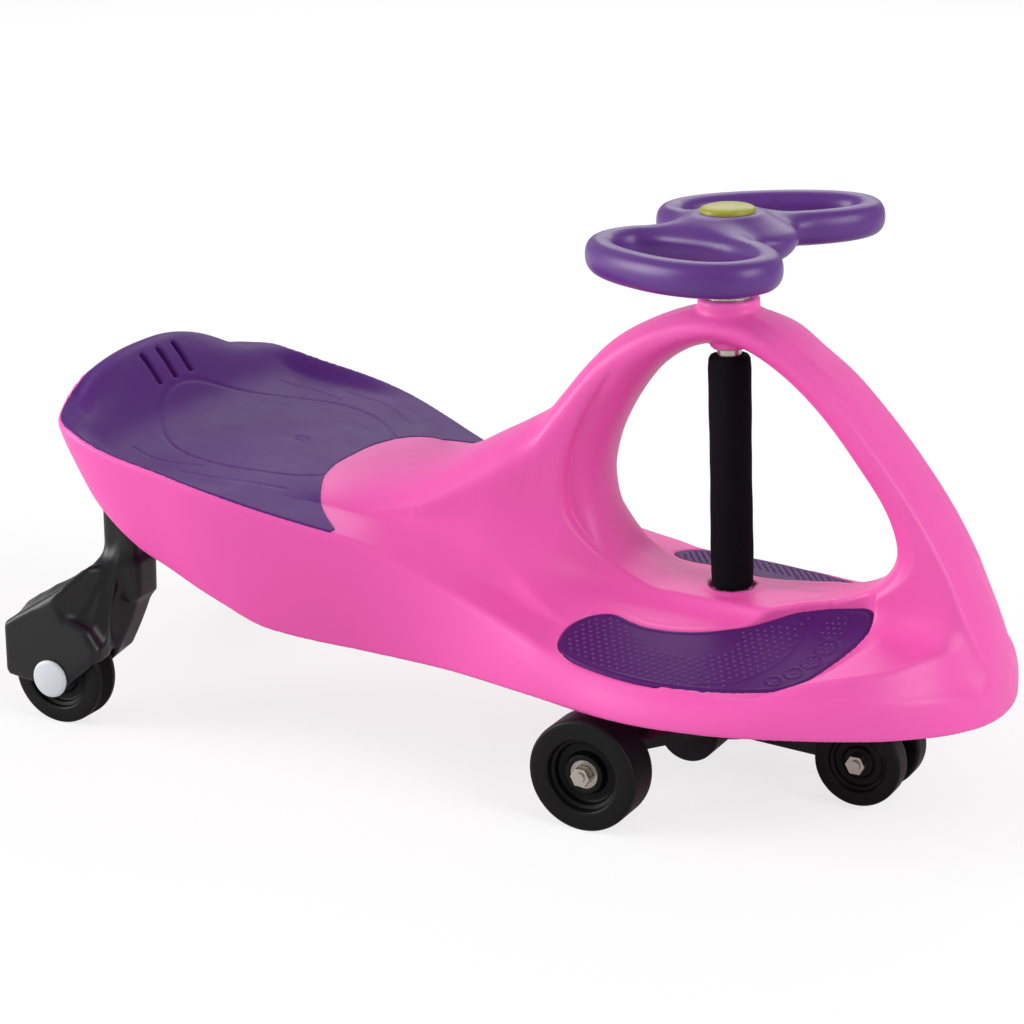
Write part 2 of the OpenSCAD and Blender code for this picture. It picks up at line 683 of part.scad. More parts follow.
cap_sphere_r = (cap_r^2 + cap_dome^2)/(2*cap_dome);
module steering_cap() {
    color(yellow)
        on_column() {
            translate([0, 0, hub_top - cap_seat])
                cylinder(r = cap_r, h = cap_seat);
            translate([0, 0, hub_top])
                intersection() {
                    cylinder(r = cap_r, h = cap_dome);
                    translate([0, 0, cap_dome - cap_sphere_r])
                        sphere(r = cap_sphere_r, $fn = 96);
                }
        }
}

plug_len = 30;
// Bolt that holds the wheel on the tube's plug
module wheel_bolt() {
    color(steel)
        on_column() {
            translate([0, 0, tube_top + bolt_head_t])
                cylinder(r = bolt_head_r, h = bolt_head_t, $fn = 6);
            translate([0, 0, tube_top - plug_len])
                cylinder(r = axle_r, h = plug_len + bolt_head_t);
        }
}

module column_plug() {
    color(steel)
        on_column()
            ring(tube_r - tube_wall - run_gap, axle_r + run_gap, tube_top - plug_len, tube_top);
}

module thrust_washer() {
    color(steel)
        on_column()
            ring(washer_r, tube_r + run_gap, collar_top + flange_t, wheel_low);
}

// Flanged bush in the collar
module upper_bush() {
    color(nylon)
        on_column() {
            ring(bush_r, tube_r + run_gap, upper_boss_low, collar_top);
            ring(flange_r, tube_r + run_gap, collar_top, collar_top + flange_t);
        }
}

// Flanged bush in the deck's boss
module lower_bush() {
    color(nylon)
        on_column() {
            ring(bush_r, tube_r + run_gap, deck_boss_low, 0);
            ring(flange_r, tube_r + run_gap, deck_boss_low - flange_t, deck_boss_low);
        }
}

lower_washer_top = deck_boss_low - flange_t;
bogie_top = lower_washer_top - washer_t;
module lower_washer() {
    color(steel)
        on_column()
            ring(washer_r, tube_r + run_gap, bogie_top, lower_washer_top);
}

tube_foot = 8;
bogie_foot = -112;
clamp_at = mix(bogie_top, bogie_foot, 0.6);
clamp_r = 3;
module steering_column() {
    color(steel)
        on_column()
            difference() {
                ring(tube_r, tube_r - tube_wall, bogie_foot + tube_foot, tube_top);
                translate([0, 0, clamp_at])
                    rotate([90, 0, 0])
                        cylinder(r = clamp_r + run_gap, h = 4*tube_r, center = true);
            }
}

module foam_sleeve() {
    color(black)
        on_column()
            ring(foam_r, tube_r + run_gap, foam_low, foam_high);
}

// Front bogie
column_x_at_axle = column_x + (deck_h - main_r)*tan(column_lean);
main_axle_x = column_x_at_axle - main_trail;
safety_axle_x = column_x_at_axle + safety_lead;
safety_axle_z = safety_r + safety_lift;
spacer_len = 4;
bogie_hub_r = 19;
beam_r = 11;
beam_half = main_span/2 - main_w - spacer_len;
web_half = 26;
web_bottom_r = 24;
web_drop = 6;
arm_half = 9;
arm_depth = 20;
brace_t = 8;
brace_half = 60;
safety_spacer = 2;

module cross_rod(x, z, r, half) {
    translate([x, 0, z])
        rotate([90, 0, 0])
            cylinder(r = r, h = 2*half, center = true);
}

module front_bogie() {
    color(black)
        difference() {
            union() {
                on_column()
                    translate([0, 0, bogie_foot])
                        cylinder(r = bogie_hub_r, h = bogie_top - bogie_foot);
                cross_rod(main_axle_x, main_r, beam_r, beam_half);
                cross_rod(safety_axle_x, safety_axle_z, arm_depth/2, arm_half);
                // Rounded web between the hub and the main axle
                cross_rod(mix(main_axle_x, column_x_at_axle, 0.5), main_r - web_drop, web_bottom_r, web_half);
                // Brace from the hub out to the beam
                translate([0, 0, main_r - brace_t/2])
                    linear_extrude(height = brace_t)
                        polygon([[main_axle_x, -brace_half - beam_half/3], [column_x_at_axle, -web_half],
                            [column_x_at_axle, web_half], [main_axle_x, brace_half + beam_half/3]]);
                // Arm to the safety wheels
                rotate([90, 0, 0])
                    linear_extrude(height = 2*arm_half, center = true)
                        polygon([[column_x_at_axle, main_r - arm_depth/2],
                            [safety_axle_x, safety_axle_z - arm_depth/2],
                            [safety_axle_x, safety_axle_z + arm_depth/2],
                            [column_x_at_axle, main_r + 2*arm_depth]]);
            }
            on_column()
                translate([0, 0, bogie_foot + tube_foot])
                    cylinder(r = tube_r + run_gap, h = bogie_top - bogie_foot);
            cross_rod(main_axle_x, main_r, axle_r + run_gap, beam_half + over);
            cross_rod(safety_axle_x, safety_axle_z, axle_r + run_gap, arm_half + over);
            on_column()
                translate([0, 0, clamp_at])
                    rotate([90, 0, 0])
                        cylinder(r = clamp_r + run_gap, h = 2*web_half + 2*over, center = true);
        }
}

clamp_head_r = 6;
clamp_head_t = 4;
clamp_half = bogie_hub_r + fit_gap;
module clamp_bolt() {
    color(steel)
        on_column()
            translate([0, 0, clamp_at])
                rotate([90, 0, 0]) {
                    translate([0, 0, -clamp_half - clamp_head_t])
                        cylinder(r = clamp_r, h = 2*clamp_half + clamp_head_t);
                    translate([0, 0, clamp_half])
                        cylinder(r = clamp_head_r, h = clamp_head_t, $fn = 6);
                }
}

module clamp_nut() {
    color(steel)
        on_column()
            translate([0, 0, clamp_at])
                rotate([-90, 0, 0])
                    translate([0, 0, clamp_half])
                        difference() {
                            cylinder(r = clamp_head_r, h = clamp_head_t, $fn = 6);
                            translate([0, 0, -over])
                                cylinder(r = clamp_r + run_gap, h = clamp_head_t + 2*over);
                        }
}

// An axle nut on each end of an axle
module nut_pair(x, z, at) {
    for (side = [0, 1])
        mirror([0, side, 0])
            translate([x, at, z])
                rotate([-90, 0, 0])
                    difference() {
                        cylinder(d = nut_flats/cos(30), h = nut_t, $fn = 6);
                        translate([0, 0, -over])
                            cylinder(r = axle_r + run_gap, h = nut_t + 2*over);
                    }
}

module spacer_pair(x, z, low, high, r) {
    for (side = [0, 1])
        mirror([0, side, 0])
            translate([x, 0, z])
                rotate([-90, 0, 0])
                    ring(r, axle_r + run_gap, low, high);
}

spacer_r = 6.5;
axle_tip = 2;
bearing_sink = 5;
main_out = main_span/2;
main_nut_at = main_out - bearing_sink;
module main_axle() {
    color(steel)
        cross_rod(main_axle_x, main_r, axle_r, main_nut_at + nut_t + axle_tip);
}

module main_axle_nuts() {
    color(steel)
        nut_pair(main_axle_x, main_r, main_nut_at + fit_gap);
}

module main_spacers() {
    color(steel)
        spacer_pair(main_axle_x, main_r, beam_half, main_out - main_w + bearing_sink - fit_gap, spacer_r);
}

tread_round = 3.5;
// A wheel about the z axis, from 0 up to its width, dished on both faces, with a pocket for a bearing at
// each face
module wheel_body(r, w, dish_r, hub, sink, bore, dish) {
    rotate_extrude($fn = 96)
        difference() {
            union() {
                translate([0, 0])
                    square([r - tread_round, w]);
                translate([0, tread_round])
                    square([r, w - 2*tread_round]);
                for (z = [tread_round, w - tread_round])
                    translate([r - tread_round, z])
                        circle(r = tread_round);
            }
            translate([-over, -over])
                square([bore + over, w + 2*over]);
            for (z = [-over, w - dish])
                translate([hub, z])
                    square([dish_r - hub, dish + over]);
            for (z = [-over, w - sink])
                translate([0, z])
                    square([hub + over, sink + over]);
        }
}

main_dish_share = 0.7;
main_dish = 9;
bearing_wall = 3;
// A main wheel with its outer face towards -z, and room for two bearings
module main_wheel() {
    difference() {
        wheel_body(main_r, main_w, main_r*main_dish_share, bearing_r + bearing_wall, bearing_sink,
            axle_r + wheel_bore_gap, main_dish);
        for (z = [bearing_sink - over, main_w - bearing_sink - bearing_w])
            translate([0, 0, z])
                cylinder(r = bearing_r + run_gap, h = bearing_w + over);
    }
}

module bearing_pair(w) {
    for (z = [bearing_sink, w - bearing_sink - bearing_w])
        ring(bearing_r, axle_r + run_gap, z, z + bearing_w);
}

// Puts a wheel or what is in it on its axle, outer face outwards
module on_axle(side, x, z, out) {
    mirror([0, side > 0 ? 1 : 0, 0])
        translate([x, -out, z])
            rotate([-90, 0, 0])
                children();
}

module main_wheel_right() {
    color(black)
        on_axle(-1, main_axle_x, main_r, main_out)
            main_wheel();
}

module main_wheel_left() {
    color(black)
        on_axle(1, main_axle_x, main_r, main_out)
            main_wheel();
}

module main_bearings_right() {
    color(steel)
        on_axle(-1, main_axle_x, main_r, main_out)
            bearing_pair(main_w);
}

module main_bearings_left() {
    color(steel)
        on_axle(1, main_axle_x, main_r, main_out)
            bearing_pair(main_w);
}

// Safety wheels
safety_sink = 4;
safety_out = arm_half + safety_spacer + safety_w + fit_gap;
safety_dish = 6;
safety_dish_share = 0.68;
safety_hub = 10;
safety_nut_at = safety_out - safety_sink + fit_gap;
module safety_axle() {
    color(steel)
        cross_rod(safety_axle_x, safety_axle_z, axle_r, safety_nut_at + nut_t + axle_tip);
}

module safety_axle_nuts() {
    color(steel)
        nut_pair(safety_axle_x, safety_axle_z, safety_nut_at);
}

module safety_spacers() {
    color(steel)
        spacer_pair(safety_axle_x, safety_axle_z, arm_half,
            safety_out - safety_w + safety_sink - fit_gap, spacer_r);
}

module safety_wheel() {
    wheel_body(safety_r, safety_w, safety_r*safety_dish_share, safety_hub, safety_sink,
        axle_r + run_gap, safety_dish);
}

module safety_wheel_right() {
    color(black)
        on_axle(-1, safety_axle_x, safety_axle_z, safety_out)
            safety_wheel();
}

module safety_wheel_left() {
    color(black)
        on_axle(1, safety_axle_x, safety_axle_z, safety_out)
            safety_wheel();
}

// Rear arms
rear_axle_x = rear_axle_setback - half_len;
rear_out = rear_span/2;
rear_side_gap = 2.5;
house_out = rear_out + rear_side_gap + arm_wall;
house_in = rear_out - rear_w - rear_side_gap - arm_wall;
house_corner_r = 7;
post_x_share = -0.766;
post_x = half_len*post_x_share;
post_len = 36;
post_w = 30;
post_y_share = 0.69;
post_y = seat_w/2*post_y_share;
post_foot = 104;
post_base_h = 22;
post_round = 8;
post_flare = 1;
slice_t = 0.2;
house_edge_r = 6;
house_edge_steps = 4;
house_round = [for (i = [0:house_edge_steps - 1])
    let (a = 90*i/house_edge_steps)
    house_edge_r*[1 - cos(a), 1 - sin(a)]];
// Slices across a rear housing's rounded edges: depth from its outer face and how far the outline is drawn in
house_slices = concat(house_round,
    [for (r = house_round) [house_out - house_in - slice_t - r[0], r[1]]]);
// Side outline of a rear housing: place ahead of its back and height, both over the wheel's radius
house_shares = [[0, 0.86], [0.6, 0.81], [1.45, 0.83], [2.16, 1.48], [2.2, 1.75], [1.95, 2.1], [1.3, 2.34],
    [0.7, 2.28], [0.3, 2.12], [0, 1.92]];

module house_outline(shrink) {
    offset(r = house_corner_r - shrink, $fn = 20)
        offset(delta = -house_corner_r)
            polygon([for (p = house_shares) [p[0]*rear_r - half_len, p[1]*rear_r]]);
}

module house_slice(slice, thick) {
    translate([0, slice[0] - house_out, 0])
        rotate([90, 0, 0])
            mirror([0, 0, 1])
                linear_extrude(height = thick)
                    hull()
                        house_outline(slice[1]);
}

// Plan of a post, grown by a margin
module post_plan(margin) {
    translate([post_x - post_len/2, -post_w/2])
        translate([post_round, post_round])
            offset(r = post_round + margin)
                square([post_len - 2*post_round, post_w - 2*post_round]);
}

// Height of the hull's ceiling over the rear posts
post_top = min([for (i = [-1, 1], k = [-1, 0, 1]) seat_z(post_x + i*post_len/2, post_y + k*post_w/2)])
    - pocket_depth - wall - fit_gap;
arm_bolt_r = 3;
arm_bolt_pitch = 16;
arm_bolt_rise = fit_gap + wall/2;
arm_bolt_len = 40;
rear_cavity_gap = 3;
rear_cavity_r = rear_r + rear_cavity_gap;

// A rear arm on the right side
module rear_arm() {
    difference() {
        union() {
            hull() {
                for (slice = house_slices)
                    house_slice(slice, slice_t);
                house_slice([house_edge_r, 0], house_out - house_in - 2*house_edge_r);
                translate([0, -post_y, post_foot])
                    linear_extrude(height = post_base_h)
                        post_plan(post_flare);
            }
            translate([0, -post_y, post_foot])
                linear_extrude(height = post_top - post_foot)
                    post_plan(0);
        }
        translate([rear_axle_x, -house_out + arm_wall, rear_r])
            rotate([-90, 0, 0])
                cylinder(r = rear_cavity_r, h = house_out - house_in - 2*arm_wall);
        translate([rear_axle_x, -house_out - over, rear_r])
            rotate([-90, 0, 0])
                cylinder(r = axle_r + run_gap, h = house_out - house_in + post_len);
        for (s = [-1, 1])
            translate([post_x + s*arm_bolt_pitch/2, -post_y, post_top - arm_bolt_len])
                cylinder(r = arm_bolt_r + run_gap, h = arm_bolt_len + over);
    }
}

module rear_arm_right() {
    color(black)
        rear_arm();
}

module rear_arm_left() {
    color(black)
        mirror([0, 1, 0])
            rear_arm();
}

// Bolts from the hull's ceiling down into the posts
module rear_arm_bolts() {
    color(steel)
        for (side = [-1, 1], s = [-1, 1])
            translate([post_x + s*arm_bolt_pitch/2, side*post_y, post_top - arm_bolt_len])
                cylinder(r = arm_bolt_r, h = arm_bolt_len + arm_bolt_rise);
}

rear_axle_len = house_out - house_in;
module rear_axle() {
    translate([rear_axle_x, -house_out, rear_r])
        rotate([-90, 0, 0])
            cylinder(r = axle_r, h = rear_axle_len);
}

module rear_axle_right() {
    color(steel)
        rear_axle();
}

module rear_axle_left() {
    color(steel)
        mirror([0, 1, 0])
            rear_axle();
}

rear_dish_share = 0.68;
rear_dish = 7;
module rear_wheel() {
    difference() {
        wheel_body(rear_r, rear_w, rear_r*rear_dish_share, bearing_r + bearing_wall, bearing_sink,
            axle_r + wheel_bore_gap, rear_dish);
        for (z = [bearing_sink - over, rear_w - bearing_sink - bearing_w])
            translate([0, 0, z])
                cylinder(r = bearing_r + run_gap, h = bearing_w + over);
    }
}

module rear_wheel_right() {
    color(black)
        on_axle(-1, rear_axle_x, rear_r, rear_out)
            rear_wheel();
}

module rear_wheel_left() {
    color(black)
        on_axle(1, rear_axle_x, rear_r, rear_out)
            rear_wheel();
}

module rear_bearings_right() {
    color(steel)
        on_axle(-1, rear_axle_x, rear_r, rear_out)
            bearing_pair(rear_w);
}

module rear_bearings_left() {
    color(steel)
        on_axle(1, rear_axle_x, rear_r, rear_out)
            bearing_pair(rear_w);
}

hub_cap_t = 5;
hub_cap_round = 2;
// A hub cap on the housing's outer face
module rear_hub_cap() {
    translate([rear_axle_x, -house_out, rear_r])
        rotate([90, 0, 0])
            rotate_extrude()
                union() {
                    square([hub_cap_r, hub_cap_t - hub_cap_round]);
                    square([hub_cap_r - hub_cap_round, hub_cap_t]);
                    translate([hub_cap_r - hub_cap_round, hub_cap_t - hub_cap_round])
                        circle(r = hub_cap_round);
                }
}

module rear_hub_cap_right() {
    color(white)
        rear_hub_cap();
}

module rear_hub_cap_left() {
    color(white)
        mirror([0, 1, 0])
            rear_hub_cap();
}

body_shell();
seat_pan();
seat_screws();
foot_mat_right();
foot_mat_left();
steering_wheel();
steering_cap();
wheel_bolt();
column_plug();
thrust_washer();
upper_bush();
lower_bush();
lower_washer();
steering_column();
foam_sleeve();
front_bogie();
clamp_bolt();
clamp_nut();
main_axle();
main_axle_nuts();
main_spacers();
main_wheel_right();
main_wheel_left();
main_bearings_right();
main_bearings_left();
safety_axle();
safety_axle_nuts();
safety_spacers();
safety_wheel_right();
safety_wheel_left();
rear_arm_right();
rear_arm_left();
rear_arm_bolts();
rear_axle_right();
rear_axle_left();
rear_wheel_right();
rear_wheel_left();
rear_bearings_right();
rear_bearings_left();
rear_hub_cap_right();
rear_hub_cap_left();
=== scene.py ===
"""Looks of a child's ride-on wiggle car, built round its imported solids.

Sizes are in millimetres in the car's own frame: X to the nose, Y to the rider's left, Z up.
"""

import json
import logging
import math
from collections.abc import Callable, Sequence
from dataclasses import dataclass
from enum import Enum

import bpy
import numpy as np
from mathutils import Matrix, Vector

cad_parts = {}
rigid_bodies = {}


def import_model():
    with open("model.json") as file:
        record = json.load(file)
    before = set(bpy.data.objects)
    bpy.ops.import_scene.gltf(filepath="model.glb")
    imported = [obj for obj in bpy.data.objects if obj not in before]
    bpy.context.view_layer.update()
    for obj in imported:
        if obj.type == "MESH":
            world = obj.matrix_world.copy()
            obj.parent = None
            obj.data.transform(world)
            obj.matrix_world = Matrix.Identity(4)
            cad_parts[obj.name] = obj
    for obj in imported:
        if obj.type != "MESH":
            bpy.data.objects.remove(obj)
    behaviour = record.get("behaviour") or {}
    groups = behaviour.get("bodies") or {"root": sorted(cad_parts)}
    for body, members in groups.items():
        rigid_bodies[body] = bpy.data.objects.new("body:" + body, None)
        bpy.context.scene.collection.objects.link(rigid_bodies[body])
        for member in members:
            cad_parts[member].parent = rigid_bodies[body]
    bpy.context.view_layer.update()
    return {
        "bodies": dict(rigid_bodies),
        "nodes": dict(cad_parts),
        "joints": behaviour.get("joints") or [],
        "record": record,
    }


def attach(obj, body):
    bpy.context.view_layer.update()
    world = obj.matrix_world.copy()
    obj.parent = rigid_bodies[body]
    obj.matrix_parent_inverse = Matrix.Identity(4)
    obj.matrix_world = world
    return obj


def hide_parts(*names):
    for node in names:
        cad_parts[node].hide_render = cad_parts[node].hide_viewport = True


LOG = logging.getLogger("wiggle_car")
MM = 0.001

Array = np.ndarray
Field = Callable[[Array, Array, Array], Array]
Shape = tuple[Array, list[Sequence[int]]]


class Side(Enum):
    """Which side of the car a piece is on, with the sign of its Y."""

    RIGHT = -1
    LEFT = 1

    @property
    def word(self) -> str:
        """The side's word in node and body names."""
        return self.name.lower()


class Slot(Enum):
    """Material slots of the record."""

    BODY = "body_pink"
    SEAT = "seat_purple"
    WHEEL = "wheel_purple"
    CAP = "cap_yellow"
    FOAM = "foam_black"
    FRAME = "frame_black"
    TYRE = "tyre_black"
    HUB_CAP = "cap_white"
    BUSH = "bush_nylon"
    STEEL = "bright_steel"


# Blends


def ease(t: Array) -> Array:
    """A soft step from 0 to 1."""
    return (1 - np.cos(np.pi * np.clip(t, 0, 1))) / 2


def mix(a: Array, b: Array, t: Array) -> Array:
    """The value t of the way from a to b."""
    return a + (b - a) * t


def join(a: Array, b: Array, soft: float) -> Array:
    """Two fields as one body, with a fillet between them.

    Args:
        a: First field, negative inside.
        b: Second field.
        soft: How far the fillet reaches.

    Returns:
        The joined field.
    """
    h = np.clip(0.5 + 0.5 * (b - a) / soft, 0, 1)
    return b + (a - b) * h - soft * h * (1 - h)


def meet(a: Array, b: Array, soft: float) -> Array:
    """What two fields share, with its edge rounded over soft."""
    return -join(-a, -b, soft)


def cut(a: Array, b: Array, soft: float) -> Array:
    """Field a without field b, with the edge rounded over soft."""
    return meet(a, -b, soft)


class Line:
    """A smooth line through measured points."""

    def __init__(self, points: Sequence[Sequence[float]], column: int = 1) -> None:
        """Takes the places from each row's first value and the heights from the given column."""
        self.at = np.array([p[0] for p in points], float)
        self.value = np.array([p[column] for p in points], float)
        last = len(self.at) - 1
        low = np.maximum(np.arange(last + 1) - 1, 0)
        high = np.minimum(np.arange(last + 1) + 1, last)
        self.slope = (self.value[high] - self.value[low]) / (self.at[high] - self.at[low])

    def __call__(self, x: Array) -> Array:
        """The line's value at x, held level past its ends."""
        c = np.clip(x, self.at[0], self.at[-1])
        i = np.clip(np.searchsorted(self.at, c, "right") - 1, 0, len(self.at) - 2)
        h = self.at[i + 1] - self.at[i]
        t = (c - self.at[i]) / h
        return (
            self.value[i] * (2 * t**3 - 3 * t**2 + 1)
            + self.slope[i] * h * (t**3 - 2 * t**2 + t)
            + self.value[i + 1] * (3 * t**2 - 2 * t**3)
            + self.slope[i + 1] * h * (t**3 - t**2)
        )


class Chart:
    """Values on a flat grid, read back with cubic blending."""

    def __init__(self, low: Sequence[float], high: Sequence[float], step: float, make: Callable) -> None:
        """Fills the grid from low to high with make(u, v)."""
        self.low, self.step = low, step
        u, v = (l + step * np.arange(int((h - l) / step) + 2) for l, h in zip(low, high))
        self.values = np.asarray(make(u[:, None], v[None, :]), np.float64)

    @staticmethod
    def _weights(t: Array) -> list[Array]:
        """The four cubic weights at a share t of a cell."""
        return [
            ((-t + 2) * t - 1) * t / 2,
            ((3 * t - 5) * t * t + 2) / 2,
            ((-3 * t + 4) * t + 1) * t / 2,
            (t - 1) * t * t / 2,
        ]

    def __call__(self, u: Array, v: Array) -> Array:
        """The chart's value at each (u, v)."""
        nu, nv = self.values.shape
        pu = np.clip((u - self.low[0]) / self.step, 1, nu - 2.001)
        pv = np.clip((v - self.low[1]) / self.step, 1, nv - 2.001)
        iu, iv = pu.astype(int), pv.astype(int)
        wu, wv = self._weights(pu - iu), self._weights(pv - iv)
        found = 0.0
        for i in range(4):
            row = sum(self.values[iu + i - 1, iv + j - 1] * wv[j] for j in range(4))
            found = found + row * wu[i]
        return found

    def slopes(self) -> tuple["Chart", "Chart"]:
        """Charts of this one's slope along u and along v."""
        made = []
        for g in np.gradient(self.values, self.step):
            chart = object.__new__(Chart)
            chart.low, chart.step, chart.values = self.low, self.step, g
            made.append(chart)
        return made[0], made[1]


def outline_distance(outline: Array, u: Array, v: Array) -> Array:
    """Signed distance to a closed outline, negative inside.

    Args:
        outline: Points of the outline, one row each.
        u: First coordinate of the places.
        v: Second coordinate of the places.

    Returns:
        The distances, in the shape that u and v span.
    """
    best = np.full(np.broadcast(u, v).shape, np.inf)
    inside = np.zeros(best.shape, bool)
    for a, b in zip(outline, np.roll(outline, -1, 0)):
        d = b - a
        t = np.clip(((u - a[0]) * d[0] + (v - a[1]) * d[1]) / max(d @ d, 1e-12), 0, 1)
        best = np.minimum(best, (u - a[0] - t * d[0]) ** 2 + (v - a[1] - t * d[1]) ** 2)
        if a[1] != b[1]:
            across = (a[1] > v) != (b[1] > v)
            inside ^= across & (u < a[0] + (v - a[1]) / (b[1] - a[1]) * d[0])
    return np.where(inside, -1, 1) * np.sqrt(best)


def ring_line(points: Sequence[Sequence[float]], steps: int) -> Array:
    """A closed smooth line through points, with steps points for each stretch."""
    p = np.array(points, float)
    t = np.arange(steps)[None, :, None] / steps
    a, b = p[:, None], np.roll(p, -1, 0)[:, None]
    m = (np.roll(p, -1, 0) - np.roll(p, 1, 0))[:, None] / 2
    n = np.roll(m, -1, 0)
    made = a * (2 * t**3 - 3 * t**2 + 1) + m * (t**3 - 2 * t**2 + t)
    made = made + b * (3 * t**2 - 2 * t**3) + n * (t**3 - t**2)
    return made.reshape(-1, 2)


# Meshes


class Net:
    """The surface of a field as a mesh of four-sided faces."""

    CORNERS = np.array([(i, j, k) for i in (0, 1) for j in (0, 1) for k in (0, 1)])
    EDGES = [(a, b) for a in range(8) for b in range(a + 1, 8) if bin(a ^ b).count("1") == 1]
    SLAB = 24
    PROBE = 0.2

    def __init__(self, field: Field, low: Sequence[float], high: Sequence[float], step: float) -> None:
        """Keeps the field, the box that holds its surface and the size of a cell."""
        self.field, self.step = field, step
        self.low = np.array(low, float)
        self.counts = [int(math.ceil((h - l) / step)) + 1 for l, h in zip(low, high)]

    def _values(self) -> Array:
        """The field at every grid point."""
        axes = [l + self.step * np.arange(n) for l, n in zip(self.low, self.counts)]
        values = np.empty(self.counts, np.float32)
        for i in range(0, self.counts[0], self.SLAB):
            x = axes[0][i : i + self.SLAB, None, None]
            values[i : i + self.SLAB] = self.field(x, axes[1][None, :, None], axes[2][None, None, :])
        return values

    def _slope(self, p: Array) -> Array:
        """The field's gradient at points."""
        found = np.empty_like(p)
        for k in range(3):
            d = np.zeros(3)
            d[k] = self.PROBE
            ahead, behind = p + d, p - d
            found[:, k] = (self.field(*ahead.T) - self.field(*behind.T)) / (2 * self.PROBE)
        return found

    def _settle(self, p: Array) -> Array:
        """Moves points onto the surface."""
        g = self._slope(p)
        size = np.maximum((g * g).sum(1), 1e-4)
        shift = -(self.field(*p.T) / size)[:, None] * g
        far = np.maximum(np.linalg.norm(shift, axis=1) / (self.step / 2), 1)
        return p + shift / far[:, None]

    def build(self, rounds: int = 3) -> Shape:
        """Nets the surface, then evens out its points and moves them onto the field.

        Args:
            rounds: How often the points are evened out.

        Returns:
            The points and the faces.
        """
        values = self._values()
        inside = values < 0
        n = np.array(self.counts) - 1
        total = np.zeros(n, np.uint8)
        for c in self.CORNERS:
            total += inside[c[0] : c[0] + n[0], c[1] : c[1] + n[1], c[2] : c[2] + n[2]]
        cells = np.argwhere((total > 0) & (total < 8))
        index = np.full(n, -1, np.int64)
        index[tuple(cells.T)] = np.arange(len(cells))
        place, hits = np.zeros((len(cells), 3)), np.zeros(len(cells))
        for a, b in self.EDGES:
            va = values[tuple((cells + self.CORNERS[a]).T)].astype(float)
            vb = values[tuple((cells + self.CORNERS[b]).T)].astype(float)
            on = (va < 0) != (vb < 0)
            t = va[on] / (va[on] - vb[on])
            place[on] += self.CORNERS[a] + t[:, None] * (self.CORNERS[b] - self.CORNERS[a])
            hits += on
        points = self.low + self.step * (cells + place / hits[:, None])
        faces = self._faces(inside, index)
        ends = np.concatenate([faces[:, [k, (k + 1) % 4]] for k in range(4)])
        count = np.bincount(ends[:, 0], minlength=len(points)) + np.bincount(ends[:, 1], minlength=len(points))
        for _ in range(rounds):
            mean = np.zeros_like(points)
            for k in range(3):
                mean[:, k] = np.bincount(ends[:, 0], points[ends[:, 1], k], len(points))
                mean[:, k] += np.bincount(ends[:, 1], points[ends[:, 0], k], len(points))
            move = mean / count[:, None] - points
            g = self._slope(points)
            g /= np.maximum(np.linalg.norm(g, axis=1), 1e-6)[:, None]
            points = points + 0.5 * (move - (move * g).sum(1)[:, None] * g)
            points = self._settle(points)
        points = self._settle(self._settle(points))
        return points, faces.tolist()

    def _faces(self, inside: Array, index: Array) -> Array:
        """The faces, one across each grid edge that the surface crosses."""
        made = []
        for axis in range(3):
            u, v = (axis + 1) % 3, (axis + 2) % 3
            near = np.take(inside, range(inside.shape[axis] - 1), axis)
            far = np.take(inside, range(1, inside.shape[axis]), axis)
            p = np.argwhere(near != far)
            p = p[(p[:, u] > 0) & (p[:, v] > 0)]
            p = p[(p[:, u] < inside.shape[u] - 1) & (p[:, v] < inside.shape[v] - 1)]
            eu, ev = np.eye(3, dtype=int)[u], np.eye(3, dtype=int)[v]
            quad = np.stack([index[tuple((p - d).T)] for d in (0 * eu, eu, eu + ev, ev)], 1)
            out = inside[tuple(p.T)]
            made.append(np.where(out[:, None], quad, quad[:, ::-1]))
        return np.concatenate(made)


def fillet(corners: Sequence[Sequence[float]], steps: int = 4) -> list[tuple[float, float]]:
    """An open line with its corners rounded.

    Args:
        corners: Rows of two coordinates and the radius of the corner.
        steps: Points for each rounded corner, less one.

    Returns:
        The line's points.
    """
    made = []
    for i, row in enumerate(corners):
        p, r = np.array(row[:2], float), row[2] if len(row) > 2 else 0
        if r <= 0 or i in (0, len(corners) - 1):
            made.append((p[0], p[1]))
            continue
        a, b = np.array(corners[i - 1][:2], float) - p, np.array(corners[i + 1][:2], float) - p
        la, lb = np.linalg.norm(a), np.linalg.norm(b)
        reach = min(r, la / 2.05, lb / 2.05)
        start, end = p + a / la * reach, p + b / lb * reach
        for k in range(steps + 1):
            t = k / steps
            q = (1 - t) ** 2 * start + 2 * t * (1 - t) * p + t * t * end
            made.append((q[0], q[1]))
    return made


def lathe(profile: Sequence[Sequence[float]], turns: int, closed: bool = False) -> Shape:
    """A turned form about the Z axis.

    Args:
        profile: Radius and height of each point, with the solid on the left of the line's run.
        turns: Points round the axis.
        closed: Whether the profile comes back to its first point.

    Returns:
        The points and the faces.
    """
    points, rows = [], []
    for r, h in profile:
        if r < 1e-6:
            rows.append([len(points)] * turns)
            points.append((0.0, 0.0, h))
            continue
        rows.append(list(range(len(points), len(points) + turns)))
        for k in range(turns):
            a = 2 * math.pi * k / turns
            points.append((r * math.cos(a), r * math.sin(a), h))
    faces = []
    pairs = list(zip(rows, rows[1:])) + ([(rows[-1], rows[0])] if closed else [])
    for low, high in pairs:
        for k in range(turns):
            n = (k + 1) % turns
            face = [low[k], low[n], high[n], high[k]]
            faces.append(list(dict.fromkeys(face)))
    return np.array(points), [f for f in faces if len(f) > 2]


